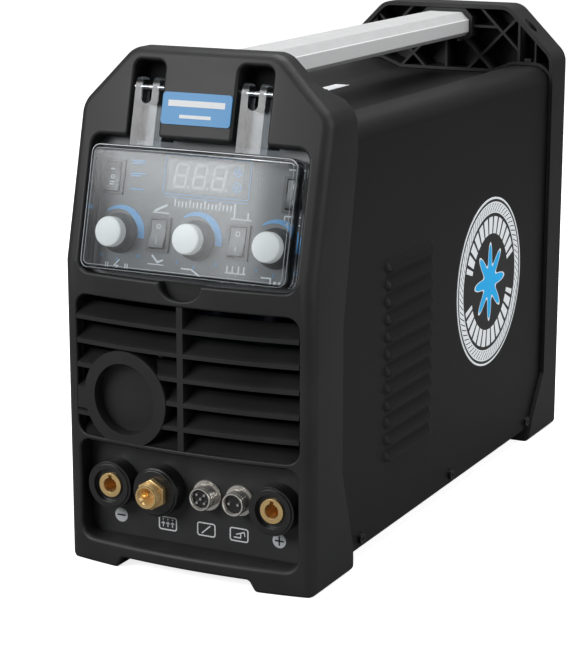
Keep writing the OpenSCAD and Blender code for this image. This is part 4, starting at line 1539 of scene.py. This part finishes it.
@dataclass
class Badge:
    """The blue plate between the guard's arms, with plain bars in place of a name."""

    kit: Kit

    def build(self) -> None:
        """Prints two white bars on the CAD plate's bowed face."""
        bm = bmesh.new()
        for half, up, width in ((17.0, 97.6, 3.6), (9.5, 90.0, 2.0)):
            stroke(bm, [(half * (i / 8 - 1), up) for i in range(17)], width, 0.1)
        for vert in bm.verts:
            vert.co = on_face(vert.co.x, KNEE_Z + vert.co.y, 0.8 + vert.co.z)
        self.kit.piece("badge_bars", bm, "print_white", slot="badge_blue")


@dataclass
class Connectors:
    """The socket row: threads, hexagons and plain symbols."""

    kit: Kit
    plate_y: float = 12.0
    row_z: float = 49.8
    gas_x: float = -23.6
    pins: tuple[tuple[str, float], ...] = (("five_pin", 7.0), ("two_pin", 29.3))
    minus: Flat = (-54, 27.9)
    plus: Flat = (55.4, 28.3)
    sign: float = 2.4
    gas_mark_x: float = -21.0
    symbol_boxes: tuple[Flat, ...] = ((-21, 27.3), (5.8, 27.6), (28.3, 27.8))

    def at(self, x: float) -> Matrix:
        """The plate's face at one connector."""
        return facing(self.plate_y) @ Matrix.Translation((x, self.row_z, 0))

    @staticmethod
    def thread(r: float, low: float, high: float, pitch: float, depth: float) -> list[Flat]:
        """The zigzag half section of a thread from low to high."""
        count = int((high - low) / pitch)
        points = []
        for i in range(count):
            h = low + i * pitch
            points += [(r - depth, h), (r, h + pitch * 0.35), (r, h + pitch * 0.6)]
        return points + [(r - depth, low + count * pitch)]

    def build(self) -> None:
        """Builds the gas nipple and the two threaded shells, and prints the symbols."""
        place = self.at(self.gas_x)
        bm = bmesh.new()
        bmesh.ops.create_cone(bm, cap_ends=True, segments=6, radius1=9.8, radius2=9.8, depth=4,
                              matrix=Matrix.Translation((0, 0, 14)))
        bmesh.ops.bevel(bm, geom=bm.edges[:], offset=0.5, offset_type="OFFSET", segments=2,
                        profile=0.5, affect="EDGES", material=-1)
        bm.transform(place)
        turn(bm, [(1.5, -14), (5.5, -14), (5.5, 12), (7.0, 12.0), (7.0, 16.2)]
             + self.thread(7.5, 16.4, 21.2, 1.15, 0.55)
             + [(7.1, 21.4), (6.9, 22.0), (6.0, 22.0), (1.5, 17.0), (1.5, -14)], place)
        self.kit.piece("gas_outlet_nipple", bm, "brass", replaces=["gas_outlet_fitting"],
                       smooth=45)
        shell = [(5.95, -9.5), (6.85, -9.5), (6.85, 0), (9.3, 0), (9.6, 0.3), (9.6, 1.3),
                 (9.3, 1.6), (7.2, 1.6)]
        shell += self.thread(7.25, 2.2, 9.2, 1.0, 0.4)
        shell += [(7.2, 9.6), (7.1, 10.2), (6.8, 10.5), (6.2, 10.5), (5.95, 10.2), (5.95, -9.5)]
        for name, x in self.pins:
            bm = bmesh.new()
            turn(bm, shell, self.at(x))
            bmesh.ops.create_cone(bm, cap_ends=True, segments=6, radius1=10, radius2=10, depth=3,
                                  matrix=self.at(x) @ Matrix.Translation((0, 0, -4.0)))
            self.kit.piece(f"{name}_thread", bm, "nickel", replaces=[f"{name}_shell"], smooth=45)
            self.kit.soften(f"{name}_insert", 0.25)
        for pole in ("negative", "positive"):
            self.kit.soften(f"{pole}_socket_body", 0.6, 3)
            self.kit.soften(f"{pole}_socket_insert", 0.25)
        self.kit.soften("gas_outlet_flange", 0.6, 3)
        self.symbols()

    def symbols(self) -> None:
        """Prints the polarity discs and the gas, torch and pedal symbols."""
        place = facing(self.plate_y)
        pale, signs, white = bmesh.new(), bmesh.new(), bmesh.new()
        for x, z in (self.minus, self.plus):
            disc(pale, x, z, 4.5)
            stroke(signs, [(x - self.sign, z), (x + self.sign, z)], 1.0)
        x, z = self.plus
        stroke(signs, [(x, z - self.sign), (x, z + self.sign)], 1.0)
        pale.transform(place)
        self.kit.piece("polarity_discs", pale, "print_grey", slot="plate_plastic")
        signs.transform(place @ Matrix.Translation((0, 0, 0.12)))
        self.kit.piece("polarity_signs", signs, "switch_body", slot="plate_plastic")
        for middle in self.symbol_boxes:
            frame_line(white, middle, (12, 8), 1.4, 0.8)
        for x in (self.gas_mark_x - 3.2, self.gas_mark_x, self.gas_mark_x + 3.2):
            stroke(white, [(x, 25.4), (x, 28.2), (x - 0.9, 27.2)], 0.6)
            stroke(white, [(x, 28.2), (x + 0.9, 27.2)], 0.6)
            disc(white, x, 29.8, 0.45)
        stroke(white, [(3.0, 25.2), (8.4, 30.0)], 0.8)
        stroke(white, [(25, 26.0), (29.4, 26.0), (29.4, 28.2)], 0.7)
        stroke(white, [(26.6, 28.0), (31.8, 29.8), (32.2, 27.6)], 0.7)
        white.transform(place)
        self.kit.piece("connector_symbols", white, "print_white", slot="plate_plastic")


# ---------------------------------------------------------------- cover, rear and handle


@dataclass
class Cover:
    """The folded steel cover with its shoulders, sunk deck and pressed louvres."""

    kit: Kit
    half: float = 80.6
    shoulder_z: float = 272.3
    deck_z: float = 266.0
    front: float = 32.0
    back: float = 396.0
    sheet: float = 1.2
    first: float = 184.0
    pitch: float = 11.05
    height: float = 7.7
    count: int = 12
    y0: float = 105.5
    y1: float = 179.0
    press: float = 3.2
    end: float = 5.0
    fold_x: float = 52.0
    deck_x: float = 36.0
    label: tuple[Flat, Flat] = ((-35.5, 205), (-24.5, 275.5))

    def build(self) -> None:
        """Folds the sheet, slits and presses the louvres, then gives the sheet its thickness."""
        bm = bmesh.new()
        line = [(self.half, 9.5), (self.half, self.shoulder_z), (self.fold_x, self.shoulder_z),
                (self.deck_x, self.deck_z)]
        line += [(-x, z) for x, z in reversed(line)]
        verts = [bm.verts.new((x, self.front, z)) for x, z in line]
        edges = [bm.edges.new(pair) for pair in zip(verts, verts[1:])]
        draw_back(bm, edges, lambda p: Vector((p.x, self.back, p.z)))
        for x, reach, segments in ((self.half, 12.0, 8), (self.deck_x, 3.0, 3),
                                   (self.fold_x, 3.0, 3)):
            folds = [e for e in bm.edges if e.is_manifold
                     and all(abs(abs(v.co.x) - x) < 0.01 for v in e.verts)]
            bmesh.ops.bevel(bm, geom=folds, offset=reach, offset_type="OFFSET", segments=segments,
                            profile=0.5, affect="EDGES", material=-1)
        ends = (0.0, 0.6, 1.4, 2.5, 3.7, self.end)
        for y in [self.y0 + d for d in ends] + [self.y1 - d for d in ends] + [142.0, 300.0]:
            cut(bm, (0, y, 0), (0, 1, 0))
        for i in range(self.count):
            for drop in (0.0, 0.8, 1.8, 3.2, 5.0, 6.6, self.height - 0.25, self.height):
                cut(bm, (0, 0, self.first - i * self.pitch - drop), (0, 0, 1))
        bmesh.ops.split_edges(bm, edges=[e for e in bm.edges if self.on_slit(e)])
        for face in [f for f in bm.faces if abs(f.normal.x) > 0.99]:
            top = self.louvre_of(face.calc_center_median())
            if top is None:
                continue
            for vert in face.verts:
                side = math.copysign(1, vert.co.x)
                share = min(1.0, max(0.0, (top - vert.co.z) / self.height))
                end = min(1.0, max(0.0, min(vert.co.y - self.y0, self.y1 - vert.co.y) / self.end))
                rise = math.sin(share * math.pi / 2) * math.sin(end * math.pi / 2)
                if side < 0 and share > 0.99:
                    rise = 0.0
                vert.co.x = side * (self.half + self.press * rise)
        look_out(bm, (0, 0, 1))
        self.kit.piece("cover_sheet", bm, "cover_paint", replaces=["cover"], smooth=50,
                       steps=wall_steps(self.sheet))
        self.kit.soften("case_screws", 0.2)
        bm = bmesh.new()
        low, high = self.label
        block(bm, (*low, self.deck_z), (*high, self.deck_z + PRINT))
        self.kit.piece("deck_label", bm, "print_white", slot="decal")

    def louvre_of(self, point: Vector) -> float | None:
        """The top of the louvre that a point of the side lies in, or None."""
        if not self.y0 < point.y < self.y1:
            return None
        for i in range(self.count):
            top = self.first - i * self.pitch
            if top - self.height < point.z < top:
                return top
        return None

    def on_slit(self, edge: bmesh.types.BMEdge) -> bool:
        """True for an edge along the lower line of a louvre on the open right side."""
        a, b = (v.co for v in edge.verts)
        if abs(a.z - b.z) > 0.01 or abs(a.x - self.half) > 0.01:
            return False
        i = (self.first - self.height - a.z) / self.pitch
        inside = all(self.y0 - 0.01 < p.y < self.y1 + 0.01 for p in (a, b))
        return inside and -0.01 < i < self.count - 0.9 and abs(i - round(i)) < 0.002


@dataclass
class RearAndHandle:
    """The rear bezel, the grille and the carrying bar, softened at their edges."""

    kit: Kit

    def build(self) -> None:
        """Rounds the edges of the carried-over nodes."""
        for node, width in (("rear_bezel", 1.2), ("front_grille", 0.9), ("handle_bar", 0.5),
                            ("connector_plate", 0.3), ("rear_panel", 0.3), ("fan_frame", 0.6),
                            ("mains_switch_housing", 0.3), ("mains_switch_rocker", 0.4),
                            ("cable_gland", 0.4)):
            self.kit.soften(node, width, 3 if width > 1 else 2)


def main() -> None:
    """Builds the machine in order."""
    logging.basicConfig(level=logging.INFO, format="%(message)s")
    Stage().build()
    finishes = Finishes()
    finishes.dress_nodes()
    kit = Kit(finishes)
    FrontBezel(kit).build()
    Guard(kit).build()
    Panel(kit).build()
    Badge(kit).build()
    Connectors(kit).build()
    Cover(kit).build()
    RearAndHandle(kit).build()


if __name__ == "__main__":
    main()
